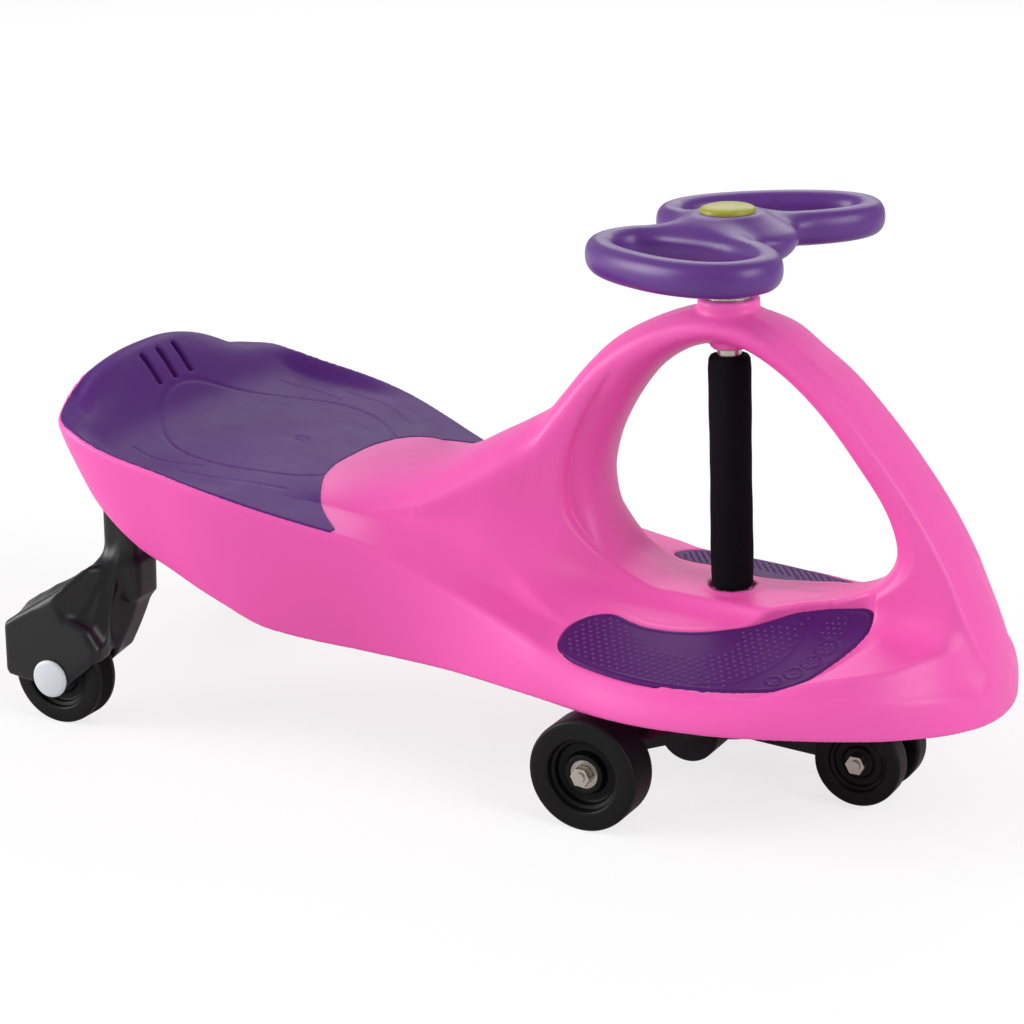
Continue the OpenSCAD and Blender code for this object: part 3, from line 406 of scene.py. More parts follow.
def placed(shape: Shape, origin: Sequence[float], axis: Sequence[float]) -> Shape:
    """A shape made about Z, moved to origin with its Z along axis and its X kept in the car's XZ plane."""
    ez = np.array(axis, float) / np.linalg.norm(axis)
    ex = np.array([1.0, 0, 0]) - ez[0] * ez
    ex /= np.linalg.norm(ex)
    turn = np.stack([ex, np.cross(ez, ex), ez])
    return np.array(origin) + shape[0] @ turn, shape[1]


def together(shapes: Sequence[Shape]) -> Shape:
    """Several shapes as one."""
    points, faces, start = [], [], 0
    for p, f in shapes:
        points.append(p)
        faces += [[i + start for i in face] for face in f]
        start += len(p)
    return np.concatenate(points), faces


def mirrored(shape: Shape) -> Shape:
    """A shape seen in the car's middle plane."""
    return shape[0] * np.array([1, -1, 1]), [list(f)[::-1] for f in shape[1]]


def make_piece(name: str, shape: Shape, material: bpy.types.Material, crisp: float = 0) -> bpy.types.Object:
    """A mesh object from a shape.

    Args:
        name: The object's name.
        shape: Points in millimetres and faces.
        material: Its material.
        crisp: Angle in degrees past which an edge stays sharp, or 0 for none.

    Returns:
        The object, in the scene.
    """
    data = bpy.data.meshes.new(name)
    data.from_pydata((shape[0] * MM).tolist(), [], shape[1])
    data.validate()
    data.shade_smooth()
    if crisp:
        data.set_sharp_from_angle(angle=math.radians(crisp))
    data.materials.append(material)
    made = bpy.data.objects.new(name, data)
    bpy.context.scene.collection.objects.link(made)
    return made


def settle_piece(piece: bpy.types.Object, body: str, slot: Slot, *nodes: str) -> None:
    """Rides a piece on its body and has it stand for CAD nodes."""
    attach(piece, body)
    if nodes:
        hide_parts(*nodes)
    LOG.info("%s on %s, %d faces", piece.name, body, len(piece.data.polygons))


# Materials


def tone(red: int, green: int, blue: int) -> tuple[float, float, float, float]:
    """A display colour as the linear one that a shader takes."""
    made = [c / 255 for c in (red, green, blue)]
    return (*(c / 12.92 if c <= 0.04045 else ((c + 0.055) / 1.055) ** 2.4 for c in made), 1.0)


def add(tree: bpy.types.NodeTree, kind: str, settings: dict | None = None, **sockets: object) -> bpy.types.Node:
    """A node with its settings, and its inputs linked or set.

    Args:
        tree: Where the node goes.
        kind: The node's type.
        settings: Values of the node's own properties.
        **sockets: Inputs by name, with _ for a space: a socket to link or a value.

    Returns:
        The node.
    """
    node = tree.nodes.new(kind)
    for key, value in (settings or {}).items():
        setattr(node, key, value)
    for key, value in sockets.items():
        numbered = key[0] == "i" and key[1:].isdigit()
        socket = node.inputs[int(key[1:]) if numbered else key.replace("_", " ")]
        if isinstance(value, bpy.types.NodeSocket):
            tree.links.new(value, socket)
        else:
            socket.default_value = value
    return node


def math_of(tree: bpy.types.NodeTree, operation: str, a: object, b: object = 0.0) -> bpy.types.NodeSocket:
    """The result of a math node."""
    return add(tree, "ShaderNodeMath", {"operation": operation}, i0=a, i1=b).outputs[0]


class Effects:
    """Shared effects as node groups, each built once."""

    def __init__(self) -> None:
        """Builds the groups."""
        self.grain = self._grain()
        self.age = self._age()
        self.edge = self._edge()

    @staticmethod
    def _group(name: str, inputs: dict, outputs: dict) -> tuple:
        """An empty group with named sockets, and its two end nodes."""
        tree = bpy.data.node_groups.new(name, "ShaderNodeTree")
        for key, (kind, default) in inputs.items():
            socket = tree.interface.new_socket(key, in_out="INPUT", socket_type=kind)
            if default is not None:
                socket.default_value = default
        for key, kind in outputs.items():
            tree.interface.new_socket(key, in_out="OUTPUT", socket_type=kind)
        return tree, tree.nodes.new("NodeGroupInput"), tree.nodes.new("NodeGroupOutput")

    def _grain(self) -> bpy.types.NodeTree:
        """Mould grain: a fine pebble over slow waves, as a height."""
        f = "NodeSocketFloat"
        tree, start, end = self._group(
            "mould_grain",
            {"Vector": ("NodeSocketVector", None), "Scale": (f, 900.0), "Fine": (f, 1.0), "Slow": (f, 1.0)},
            {"Height": f, "Mask": f},
        )
        s = start.outputs
        fine = add(tree, "ShaderNodeTexNoise", Vector=s["Vector"], Scale=s["Scale"], Detail=3.0)
        slow_scale = math_of(tree, "DIVIDE", s["Scale"], 24.0)
        slow = add(tree, "ShaderNodeTexNoise", Vector=s["Vector"], Scale=slow_scale, Detail=2.0)
        a = math_of(tree, "MULTIPLY", fine.outputs["Fac"], s["Fine"])
        b = math_of(tree, "MULTIPLY", slow.outputs["Fac"], s["Slow"])
        tree.links.new(math_of(tree, "ADD", a, b), end.inputs["Height"])
        tree.links.new(fine.outputs["Fac"], end.inputs["Mask"])
        return tree

    def _age(self) -> bpy.types.NodeTree:
        """Handling: slow colour drift, smudges and fine scuffs, as a colour and a roughness."""
        f, c = "NodeSocketFloat", "NodeSocketColor"
        tree, start, end = self._group(
            "handling",
            {
                "Vector": ("NodeSocketVector", None),
                "Color": (c, None),
                "Rough": (f, 0.4),
                "Drift": (f, 0.1),
                "Smudge": (f, 0.1),
                "Scuff": (f, 0.1),
            },
            {"Color": c, "Roughness": f},
        )
        s = start.outputs
        slow = add(tree, "ShaderNodeTexNoise", Vector=s["Vector"], Scale=9.0, Detail=2.0).outputs["Fac"]
        noise = add(tree, "ShaderNodeTexNoise", Vector=s["Vector"], Scale=46.0, Detail=5.0, Roughness=0.6)
        spots = noise.outputs["Fac"]
        stretch = add(tree, "ShaderNodeMapping", Vector=s["Vector"], Scale=(28.0, 420.0, 420.0))
        lines = add(tree, "ShaderNodeTexNoise", Vector=stretch.outputs[0], Scale=1.0, Detail=4.0).outputs["Fac"]
        marks = add(tree, "ShaderNodeMapRange", Value=lines, From_Min=0.6, From_Max=0.72).outputs[0]
        drift = math_of(tree, "MULTIPLY", math_of(tree, "SUBTRACT", slow, 0.5), s["Drift"])
        scuffed = math_of(tree, "MULTIPLY", marks, s["Scuff"])
        lift = math_of(tree, "ADD", drift, math_of(tree, "MULTIPLY", scuffed, 0.25))
        value = math_of(tree, "ADD", 1.0, lift)
        tinted = add(tree, "ShaderNodeHueSaturation", Value=value, Color=s["Color"])
        smudge = math_of(tree, "MULTIPLY", math_of(tree, "SUBTRACT", spots, 0.5), s["Smudge"])
        rough = math_of(tree, "ADD", s["Rough"], math_of(tree, "ADD", smudge, scuffed))
        tree.links.new(tinted.outputs[0], end.inputs["Color"])
        tree.links.new(rough, end.inputs["Roughness"])
        return tree

    def _edge(self) -> bpy.types.NodeTree:
        """Edges: paler where the form turns sharply outwards."""
        f, c = "NodeSocketFloat", "NodeSocketColor"
        tree, start, end = self._group(
            "edge_wear", {"Color": (c, None), "Pale": (c, None), "Amount": (f, 0.3)}, {"Color": c}
        )
        s = start.outputs
        point = add(tree, "ShaderNodeNewGeometry").outputs["Pointiness"]
        mask = add(tree, "ShaderNodeMapRange", Value=point, From_Min=0.52, From_Max=0.62).outputs[0]
        share = math_of(tree, "MULTIPLY", mask, s["Amount"])
        made = add(tree, "ShaderNodeMix", {"data_type": "RGBA"}, i0=share, i6=s["Color"], i7=s["Pale"])
        tree.links.new(made.outputs[2], end.inputs["Color"])
        return tree


@dataclass(frozen=True)
class Finish:
    """A moulded, foamed or plated surface."""

    name: str
    color: tuple[float, float, float, float]
    rough: float
    pale: tuple[float, float, float, float] = (0.8, 0.8, 0.8, 1.0)
    scale: float = 900.0
    fine: float = 1.0
    slow: float = 1.0
    bump: float = 0.1
    bump_mm: float = 0.1
    drift: float = 0.1
    smudge: float = 0.1
    scuff: float = 0.05
    edge: float = 0.1
    metal: float = 0.0
    specular: float = 0.5
    coat: float = 0.0
    sheen: float = 0.0
    soft: float = 0.0

    def make(self, effects: Effects) -> bpy.types.Material:
        """Builds the material.

        Args:
            effects: The shared node groups.

        Returns:
            The material.
        """
        made = bpy.data.materials.new(self.name)
        made.use_nodes = True
        tree = made.node_tree
        tree.nodes.clear()
        at = add(tree, "ShaderNodeTexCoord").outputs["Object"]
        grain = add(
            tree,
            "ShaderNodeGroup",
            {"node_tree": effects.grain},
            Vector=at,
            Scale=self.scale,
            Fine=self.fine,
            Slow=self.slow,
        )
        age = add(
            tree,
            "ShaderNodeGroup",
            {"node_tree": effects.age},
            Vector=at,
            Color=self.color,
            Rough=self.rough,
            Drift=self.drift,
            Smudge=self.smudge,
            Scuff=self.scuff,
        )
        edge = add(
            tree,
            "ShaderNodeGroup",
            {"node_tree": effects.edge},
            Color=age.outputs["Color"],
            Pale=self.pale,
            Amount=self.edge,
        )
        bump = add(
            tree, "ShaderNodeBump", Strength=self.bump, Distance=self.bump_mm * MM, Height=grain.outputs["Height"]
        )
        shader = add(
            tree,
            "ShaderNodeBsdfPrincipled",
            Base_Color=edge.outputs["Color"],
            Roughness=age.outputs["Roughness"],
            Normal=bump.outputs["Normal"],
            Metallic=self.metal,
            Specular_IOR_Level=self.specular,
            Coat_Weight=self.coat,
            Coat_Roughness=0.25,
            Sheen_Weight=self.sheen,
            Sheen_Roughness=0.5,
            Subsurface_Weight=self.soft,
            Subsurface_Scale=0.004,
        )
        out = add(tree, "ShaderNodeOutputMaterial")
        tree.links.new(shader.outputs[0], out.inputs[0])
        made.diffuse_color = self.color
        return made


FINISHES = {
    Slot.BODY: Finish(
        "pink_moulding", tone(232, 86, 171), 0.42, tone(250, 150, 210),
        1500, 0.5, 1.0, 0.06, 0.12, 0.05, 0.1, 0.03, 0.3, specular=0.35,
    ),
    Slot.SEAT: Finish(
        "purple_satin", tone(78, 34, 110), 0.46, tone(112, 74, 142),
        1900, 1.0, 0.5, 0.16, 0.1, 0.08, 0.14, 0.05, 0.2, specular=0.12,
    ),
    Slot.WHEEL: Finish(
        "purple_wheel", tone(86, 40, 122), 0.36, tone(136, 104, 166),
        1400, 0.6, 1.0, 0.12, 0.12, 0.08, 0.14, 0.05, 0.15, specular=0.42,
    ),
    Slot.CAP: Finish(
        "yellow_cap", tone(152, 148, 38), 0.34, tone(222, 222, 140),
        1200, 0.4, 1.0, 0.06, 0.1, specular=0.4,
    ),
    Slot.FOAM: Finish(
        "black_foam", tone(10, 9, 13), 0.95, tone(40, 40, 44),
        700, 1.0, 0.6, 0.5, 0.5, 0.2, 0.1, 0.0, 0.0, specular=0.15,
    ),
    Slot.FRAME: Finish(
        "black_moulding", tone(15, 16, 18), 0.36, tone(70, 70, 74),
        1300, 1.0, 0.8, 0.12, 0.12, 0.2, 0.18, 0.06, 0.1, specular=0.36,
    ),
    Slot.TYRE: Finish(
        "black_tread", tone(6, 6, 7), 0.46, tone(44, 44, 46),
        1100, 1.0, 0.8, 0.2, 0.14, 0.25, 0.2, 0.1, 0.1, specular=0.2,
    ),
    Slot.HUB_CAP: Finish("white_cap", tone(198, 203, 207), 0.38, tone(240, 240, 240), 900, 0.4, 1.0, 0.08, 0.1),
    Slot.BUSH: Finish("grey_nylon", tone(128, 128, 132), 0.36, tone(200, 200, 200), 900, 0.4, 1.0, 0.08, 0.1),
    Slot.STEEL: Finish(
        "zinc_steel", tone(176, 172, 160), 0.26, tone(235, 235, 230), 2500, 1.0, 0.4, 0.1, 0.05, 0.2, 0.2, 0.2, 0.2, 1.0
    ),
}
MAT_FINISH = Finish(
    "purple_mat", tone(76, 27, 98), 0.42, tone(136, 94, 158),
    1700, 0.8, 0.6, 0.12, 0.1, 0.08, 0.14, 0.05, 0.45, specular=0.1,
)


class Paints:
    """The finished materials, one for each slot."""

    def __init__(self) -> None:
        """Builds every finish once."""
        effects = Effects()
        self.made = {slot: finish.make(effects) for slot, finish in FINISHES.items()}
        self.mat = MAT_FINISH.make(effects)

    def __getitem__(self, slot: Slot) -> bpy.types.Material:
        """The material of a slot."""
        return self.made[slot]


# The car


class Column:
    """The steering column's line, which leans back a little."""

    foot = np.array([164.92, 0.0, 144.0])
    lean = math.radians(2.2)
    up = np.array([-math.sin(lean), 0.0, math.cos(lean)])
    ahead = np.array([math.cos(lean), 0.0, math.sin(lean)])

    @classmethod
    def at(cls, along: float) -> Array:
        """The point that far up the column."""
        return cls.foot + along * cls.up

    @classmethod
    def places(cls, x: Array, y: Array, z: Array) -> tuple[Array, Array]:
        """How far ahead of the column's line and how far up it each place is."""
        dx, dz = x - cls.foot[0], z - cls.foot[2]
        return dx * cls.ahead[0] + dz * cls.ahead[2], dx * cls.up[0] + dz * cls.up[2]

    @classmethod
    def rod(cls, x: Array, y: Array, z: Array, radius: float, low: float, high: float) -> Array:
        """The field of a round rod on the column's line."""
        u, s = cls.places(x, y, z)
        return np.maximum(np.sqrt(u * u + y * y) - radius, np.abs(s - (low + high) / 2) - (high - low) / 2)


# Place along the hull, height of the crease between side and top
CREASE = (
    (-364, 260), (-358, 248), (-352, 241.5), (-340, 239), (-320, 237), (-304, 233), (-277, 226.5), (-235, 218.5),
    (-194, 208.5), (-157, 198), (-123, 188.5), (-88, 179), (-63, 169), (-37, 158), (-10, 148), (28, 138), (58, 130),
    (88, 123), (132, 113.5), (173, 111.5), (205, 112), (259, 119), (295, 122), (333, 121), (350, 119), (360, 116),
    (368, 112), (375, 108), (380, 102),
)  # fmt: skip
# Place along the hull, height of the lower edge
KEEL = (
    (-364, 244), (-356, 228), (-348, 214), (-330, 195.5), (-301, 170.5), (-269, 148.5), (-242, 136.5), (-214, 123),
    (-192, 112.5), (-176, 104), (-164, 99), (-150, 95.5), (-126, 91), (-100, 87.5), (-75, 85), (-45, 84), (-5, 85),
    (40, 86.5), (70, 87), (130, 87), (209, 90), (277, 92), (336, 90), (366, 87), (380, 85),
)  # fmt: skip
# Place along the hull, height of the ridge, half its width, the crown's share of its height, the flare of its
# sides, and the deck's share of its full rise
RIDGE = (
    (-364, 260, 60, 0.6, 1, 0), (-358, 267.5, 82, 0.75, 1, 0), (-350, 270.5, 94, 0.8, 1, 0),
    (-343, 269.5, 103, 0.8, 1, 0), (-337, 264.5, 108, 0.8, 1, 0), (-330, 256.5, 113, 0.8, 1, 0),
    (-321, 244.5, 119, 0.75, 1, 0), (-313, 234, 123, 0.7, 1, 0), (-306, 226.5, 126, 0.7, 1, 0),
    (-298, 221, 128, 0.7, 1, 0), (-286, 216.5, 130, 0.7, 1, 0), (-268, 213, 132, 0.7, 1, 0),
    (-235, 210.5, 132, 0.7, 1, 0), (-194, 207, 130, 0.75, 1, 0), (-157, 202, 110, 0.85, 1.05, 0),
    (-130, 203, 94, 0.85, 1.2, 0), (-100, 207.5, 88, 0.75, 1.4, 0), (-75, 214.5, 84, 0.6, 1.6, 0.03),
    (-51, 225, 80, 0.5, 1.8, 0.05), (-26, 239.5, 72, 0.4, 2.1, 0.2), (-3, 253, 64, 0.33, 2.4, 0.35),
    (21, 269.5, 53, 0.27, 3.2, 0.5), (35, 287, 47, 0.21, 4, 0.6), (50, 306.5, 42, 0.17, 5, 0.68),
    (69, 326, 36, 0.12, 7, 0.76), (95, 342.5, 32, 0.08, 10, 0.84), (122, 353.5, 30, 0.06, 12, 0.94),
    (145, 358, 30, 0.045, 12, 1), (165, 358, 31, 0.04, 12, 1), (180, 356, 32, 0.035, 12, 1),
    (200, 349, 34, 0.035, 12, 1), (220, 335, 34, 0.035, 12, 1), (245, 316.5, 34, 0.035, 12, 0.97),
    (272, 290, 34, 0.04, 10, 0.9), (298, 260.5, 34, 0.05, 8, 0.75), (324, 226, 34, 0.07, 5, 0.45),
    (342, 198, 34, 0.14, 3, 0.2), (351, 180, 34, 0.22, 2, 0.05), (360, 163, 33, 0.35, 1.4, 0),
    (368, 145, 31, 0.5, 1.1, 0), (375, 125, 26, 0.6, 1, 0), (380, 104, 8, 0.6, 1, 0),
)  # fmt: skip
# The opening under the arch, seen from the side
OPENING = (
    (112, 146), (84, 163), (70, 188), (64, 213), (65, 231), (71.5, 254), (85, 280.5), (103, 305), (124, 321.5),
    (145, 330), (163, 331.5), (184, 326), (212, 309), (239, 285), (265, 254.5), (284, 229), (294, 206), (294, 189),
    (284, 173), (264, 158), (235, 148.5), (200, 145), (165, 144), (135, 144.3),
)  # fmt: skip
# The seat's front edge: distance from the middle, place along the hull
SEAT_FRONT = ((0, -158), (28, -157), (57, -150), (81, -138.7), (95, -130), (109, -117), (120, -103.5), (127, -95))
# The tray's rim round the nose: place along the hull, rise over the crease, how far inside the outline
RIM = (
    (235, 0, 9), (259, 5, 10), (295, 10, 11), (325, 15, 12), (340, 20, 16), (350, 22, 18), (358, 19, 22), (366, 8, 24),
    (374, 0, 24),
)  # fmt: skip
# A left foot mat's outline: place along the hull, distance from the middle
MAT = (
    (86, 126), (80.5, 118), (77.2, 104), (78, 91), (84, 77), (92, 70), (99, 67), (107, 68), (116, 71), (130, 73),
    (150, 70), (170, 62), (190, 48.5), (210, 36.5), (232, 28.5), (250, 24), (267, 22.5), (279, 23.5), (286, 28),
    (288.5, 38), (285.5, 50), (277, 71), (267.5, 92), (260, 103), (248, 113), (230, 122), (213, 129), (193, 134.6),
    (176, 138), (159, 140), (140, 140), (122, 138.3), (104.5, 134.7), (94, 131),
)  # fmt: skip


@dataclass
class Hull:
    """The pink moulding: hull, arch, decks and the hollow below."""

    stern_x: float = -364.0
    seat_x: float = -225.0
    waist_x: float = -25.0
    deck_x: float = 180.0
    nose_x: float = 379.7
    seat_half: float = 158.0
    waist_half: float = 116.0
    deck_half: float = 150.0
    stern_power: float = 4.0
    deck_rise: float = 32.5
    deck_power: float = 1.2
    side_tuck: float = 20.0
    skirt_flare: float = 5.0
    brow: float = 5.0
    bulge: float = 0.02
    wall: float = 7.0
    bank: float = 26.0
    proud: float = 0.6
    mouth_flare: float = 19.0
    mouth_half: float = 33.0
    mouth_rise: float = 60.0
    collar_r: float = 22.5
    collar_top: float = 220.2
    boss_r: float = 13.5
    boss_low: float = 183.2
    bore_r: float = 10.5
    seat_t: float = 4.0
    seat_rim: float = 2.8
    mat_at: tuple[float, float, float] = (178.8, 84.6, 126.4)
    mat_fall: tuple[float, float] = (-0.06, -0.2)
    mat_climb: float = 21.0
    mat_curl: float = 9.0
    mat_t: float = 3.0
    foot_ring: tuple[float, float, float] = (20.2, 17.0, 2.2)
    step: float = 2.2

    def __post_init__(self) -> None:
        """Draws the measured lines and the charts that the field reads."""
        self.crease, self.keel = Line(CREASE), Line(KEEL)
        self.rim_rise, self.rim_in = Line(RIM), Line(RIM, 2)
        self.ridge, self.ridge_half, self.crown, self.flare, self.deck = (Line(RIDGE, k) for k in range(1, 6))
        plan = self.plan_outline()
        low, high = (-390, -6), (400, 180)
        self.plan = Chart(low, high, 1.5, lambda u, v: outline_distance(plan, u, v))
        self.top = Chart(low, high, 1.5, self.top_height)
        self.top_slopes = self.top.slopes()
        self.flank = Chart((-60, 80), (400, 380), 1.5, self.flank_half)
        self.flank_slopes = self.flank.slopes()
        window = ring_line(OPENING, 8)
        self.window = Chart((0, 80), (400, 400), 1.5, lambda u, v: outline_distance(window, u, v))
        seat = self.seat_outline(plan)
        self.seat_plan = Chart(low, high, 1.5, lambda u, v: outline_distance(seat, u, v))
        mat = ring_line(MAT, 5)
        self.mat_plan = Chart((40, -6), (320, 180), 1.0, lambda u, v: outline_distance(mat, u, v))

    def half_width(self, x: Array) -> Array:
        """Half the hull's width at its crease."""
        s = np.clip((self.seat_x - x) / (self.seat_x - self.stern_x), 0, 1)
        n = np.clip((x - self.deck_x) / (self.nose_x - self.deck_x), 0, 1)
        back = self.seat_half * (1 - s**self.stern_power) ** (1 / self.stern_power)
        mid = mix(self.seat_half, self.waist_half, ease((x - self.seat_x) / (self.waist_x - self.seat_x)))
        fore = mix(self.waist_half, self.deck_half, ease((x - self.waist_x) / (self.deck_x - self.waist_x)))
        nose = self.deck_half * np.sqrt(1 - n**2)
        return np.where(
            x < self.seat_x, back, np.where(x < self.waist_x, mid, np.where(x < self.deck_x, fore, nose))
        )

    def plan_outline(self) -> Array:
        """The hull's outline seen from above."""
        t = np.linspace(0, math.pi / 2, 60)
        power = 2 / self.stern_power
        stern = np.stack(
            [self.seat_x - (self.seat_x - self.stern_x) * np.cos(t) ** power, self.seat_half * np.sin(t) ** power], 1
        )
        xs = np.linspace(self.seat_x, self.deck_x, 120)[1:-1]
        side = np.stack([xs, self.half_width(xs)], 1)
        nose = np.stack(
            [self.deck_x + (self.nose_x - self.deck_x) * np.sin(t), self.deck_half * np.cos(t)], 1
        )
        left = np.concatenate([stern, side, nose])
        return np.concatenate([left, left[-2:0:-1] * np.array([1, -1])])

    def seat_outline(self, plan: Array) -> Array:
        """The seat's outline seen from above."""
        left = plan[(plan[:, 1] > 0) & (plan[:, 0] < SEAT_FRONT[-1][1])]
        d = np.gradient(left, axis=0)
        d /= np.linalg.norm(d, axis=1)[:, None]
        left = left + self.seat_rim * np.stack([d[:, 1], -d[:, 0]], 1)
        left = left[left[:, 1] > 2]
        front = Line(SEAT_FRONT)
        y = np.linspace(SEAT_FRONT[-1][0], 0, 40)
        tip = left[-1]
        y, x = y[y < tip[1] - 4], front(y[y < tip[1] - 4])
        half = np.concatenate([left[:-2], np.stack([x, y], 1)[:-1]])
        return np.concatenate([half, half[::-1] * np.array([1, -1])])

    def _terms(self, x: Array) -> tuple[Array, ...]:
        """Width, crease, ridge height, ridge half width, flare, deck rise and shoulder height at x."""
        w = np.maximum(self.half_width(x), 1.0)
        zc, zt = self.crease(x), self.ridge(x)
        b = np.minimum(self.ridge_half(x), w * 0.86)
        return w, zc, zt, b, np.maximum(1, self.flare(x)), self.deck_rise * np.maximum(0, self.deck(x)), mix(
            zt, zc, self.crown(x)
        )

    def top_height(self, x: Array, y: Array) -> Array:
        """Height of the upper face over the stern, the seat and the hump."""
        a = np.abs(y)
        w, zc, zt, b, q, d, zs = self._terms(x)
        rise = zs - zc - d * np.maximum(0, 1 - b / w) ** self.deck_power
        v = 1 - np.clip((a - b) / (w - b), 0, 1) ** (1 / q)
        power = 1 + (np.minimum(q, 12) - 1) / 11
        outer = zc + d * np.maximum(0, 1 - a / w) ** self.deck_power + rise * np.maximum(v, 0) ** power
        share = np.clip(a / b, 0, 1)
        dish, hump = 1 - share**2.6, np.sqrt(1 - share**2)
        inner = zs + (zt - zs) * mix(dish, hump, ease((x + 150) / 90))
        plain = np.where(a < b, inner, outer)
        bowl = zt + (zc - zt) * ease(1 - (w - a) / self.bank)
        return mix(plain, bowl, ease((x + 335) / 45) * ease((-165 - x) / 40))

    def flank_half(self, x: Array, z: Array) -> Array:
        """Half the arch's width at a height."""
        w, zc, zt, b, q, d, zs = self._terms(x)
        power = 1 + (np.minimum(q, 12) - 1) / 11
        v = np.clip((z - zc) / np.maximum(zs - zc, 4), 0, 1) ** (1 / power)
        return b + (w - b) * np.maximum(0, 1 - v) ** q

    def mat_height(self, x: Array, a: Array) -> Array:
        """Height of a foot mat's upper face."""
        flat = self.mat_at[2] + self.mat_fall[0] * (x - self.mat_at[0]) + self.mat_fall[1] * (a - self.mat_at[1])
        climb = self.mat_climb * ease((x - 185) / 50) * np.exp(-(np.maximum(a, 24) - 18) / 20)
        return flat + climb + self.mat_curl * np.maximum(0, (x - 240) / 45) ** 1.7

    def deck_height(self, x: Array, a: Array) -> Array:
        """Height of the foot deck beside the arch."""
        w, zc, zt, b, q, d, zs = self._terms(x)
        rim = self.rim_rise(x) * ease(-self.plan(x, a) / self.rim_in(x))
        plain = zc + rim + d * np.maximum(0, 1 - a / w) ** self.deck_power
        return mix(plain, self.mat_height(x, a) + 0.4, 1 - ease(self.mat_plan(x, a) / 20))

    def side(self, x: Array, a: Array, z: Array) -> Array:
        """The field of the hull's upright sides."""
        w, zc, zk = self.half_width(x), self.crease(x), self.keel(x)
        tuck = mix(self.side_tuck, -self.skirt_flare, ease((x + 100) / 160)) * w / self.deck_half
        t = np.clip((zc - z) / np.maximum(zc - zk, 8), -0.2, 1.2)
        brow = self.brow * ease((x - 60) / 60) * ease((345 - x) / 60) * (1 - t)
        return self.plan(x, a) + tuck * t + brow - 4 * self.bulge * w * np.clip(t * (1 - t), 0, 1)

    def upper(self, x: Array, a: Array, z: Array) -> Array:
        """The field of everything below the upper faces."""
        under = self.seat_t + 4.5 * ease((-295 - x) / 20)
        top = self.top(x, a) - under * ease((-self.seat_plan(x, a) - 1.0) / 6.0)
        gx, gy = (np.clip(s(x, a), -3, 3) for s in self.top_slopes)
        plain = (z - top) / np.sqrt(1 + gx**2 + gy**2)
        deck = (z - self.deck_height(x, a)) * 0.96
        w, zc, zt, b, q, d, zs = self._terms(x)
        fx, fz = (np.clip(s(x, z), -3, 3) for s in self.flank_slopes)
        flank = (a - self.flank(x, z)) / np.sqrt(1 + fx**2 + fz**2)
        slope = (self.ridge(x + 1) - self.ridge(x - 1)) / 2
        spine = 1.7 * ease((16 - a) / 2.0 + 0.5) * ease((x - 90) / 60) * ease((372 - x) / 25)
        crown = zs + (zt - zs) * np.sqrt(np.maximum(0, 1 - np.minimum(a / b, 1) ** 2)) - 3 * np.maximum(0, a - b)
        cap = (z - crown - spine + 1.7) / np.sqrt(1 + slope**2)
        arch = cut(meet(flank, cap, 5.0), self.opening(x, a, z), 3.5)
        arch = join(deck, arch, 15.0)
        return mix(plain, arch, ease((x + 50) / 100))

    def opening(self, x: Array, a: Array, z: Array) -> Array:
        """The field of the opening under the arch, narrowest at the middle."""
        turn = np.sqrt(np.maximum(0, 1 - np.minimum(a / self.mouth_half, 1) ** 2))
        flare = self.mouth_flare * (1 - turn) * ease((z - 144) / self.mouth_rise)
        return self.window(x, z) - flare

    def ceiling(self, x: Array, a: Array) -> Array:
        """Height of the hollow's upper face."""
        seat = self.top(x, a) - self.seat_t - self.wall - 6 * ease((-285 - x) / 20)
        waist = self.crease(x) - 14
        deck = self.deck_height(x, a) - self.mat_t - self.wall - 0.7 * self.rim_rise(x)
        return mix(mix(seat, waist, ease((x + 150) / 80)), deck, ease((x - 20) / 70))

    def field(self, x: Array, y: Array, z: Array) -> Array:
        """The whole moulding."""
        a = np.abs(y)
        side, upper = self.side(x, a, z), self.upper(x, a, z)
        slope = (self.keel(x + 1) - self.keel(x - 1)) / 2
        base = (self.keel(x) - z) / np.sqrt(1 + slope**2)
        solid = meet(upper, side, 5.0)
        bed = self.mat_height(x, a) - z
        mat = np.maximum(self.mat_plan(x, a) - 0.7, np.maximum(bed - self.mat_t, -18 - bed))
        body = cut(solid, mat, 1.2)
        out, inn, high = self.foot_ring
        body = cut(join(body, Column.rod(x, y, z, out, -12, high), 5.0), Column.rod(x, y, z, inn, -1, 12), 0.8)
        body = join(body, Column.rod(x, y, z, self.collar_r, 196, self.collar_top), 3.0)
        body = join(body, Column.rod(x, y, z, self.boss_r, self.boss_low, 205), 3.0)
        body = meet(body, base, 3.0)
        hollow = np.maximum(z - self.ceiling(x, a), side + self.wall)
        hollow = cut(hollow, Column.rod(x, y, z, 16.3, -36, 60), 2.0)
        body = cut(body, hollow, 1.5)
        return cut(body, Column.rod(x, y, z, self.bore_r, -60, 260), 1.0)

    def build(self, paints: Paints) -> None:
        """Nets the moulding and has it stand for the CAD shell."""
        step = self.step * 1
        shape = Net(self.field, (-372, -166, 78), (388, 166, 372), step).build(2)
        piece = make_piece("hull_moulding", shape, paints[Slot.BODY])
        settle_piece(piece, "body", Slot.BODY, "body_shell")


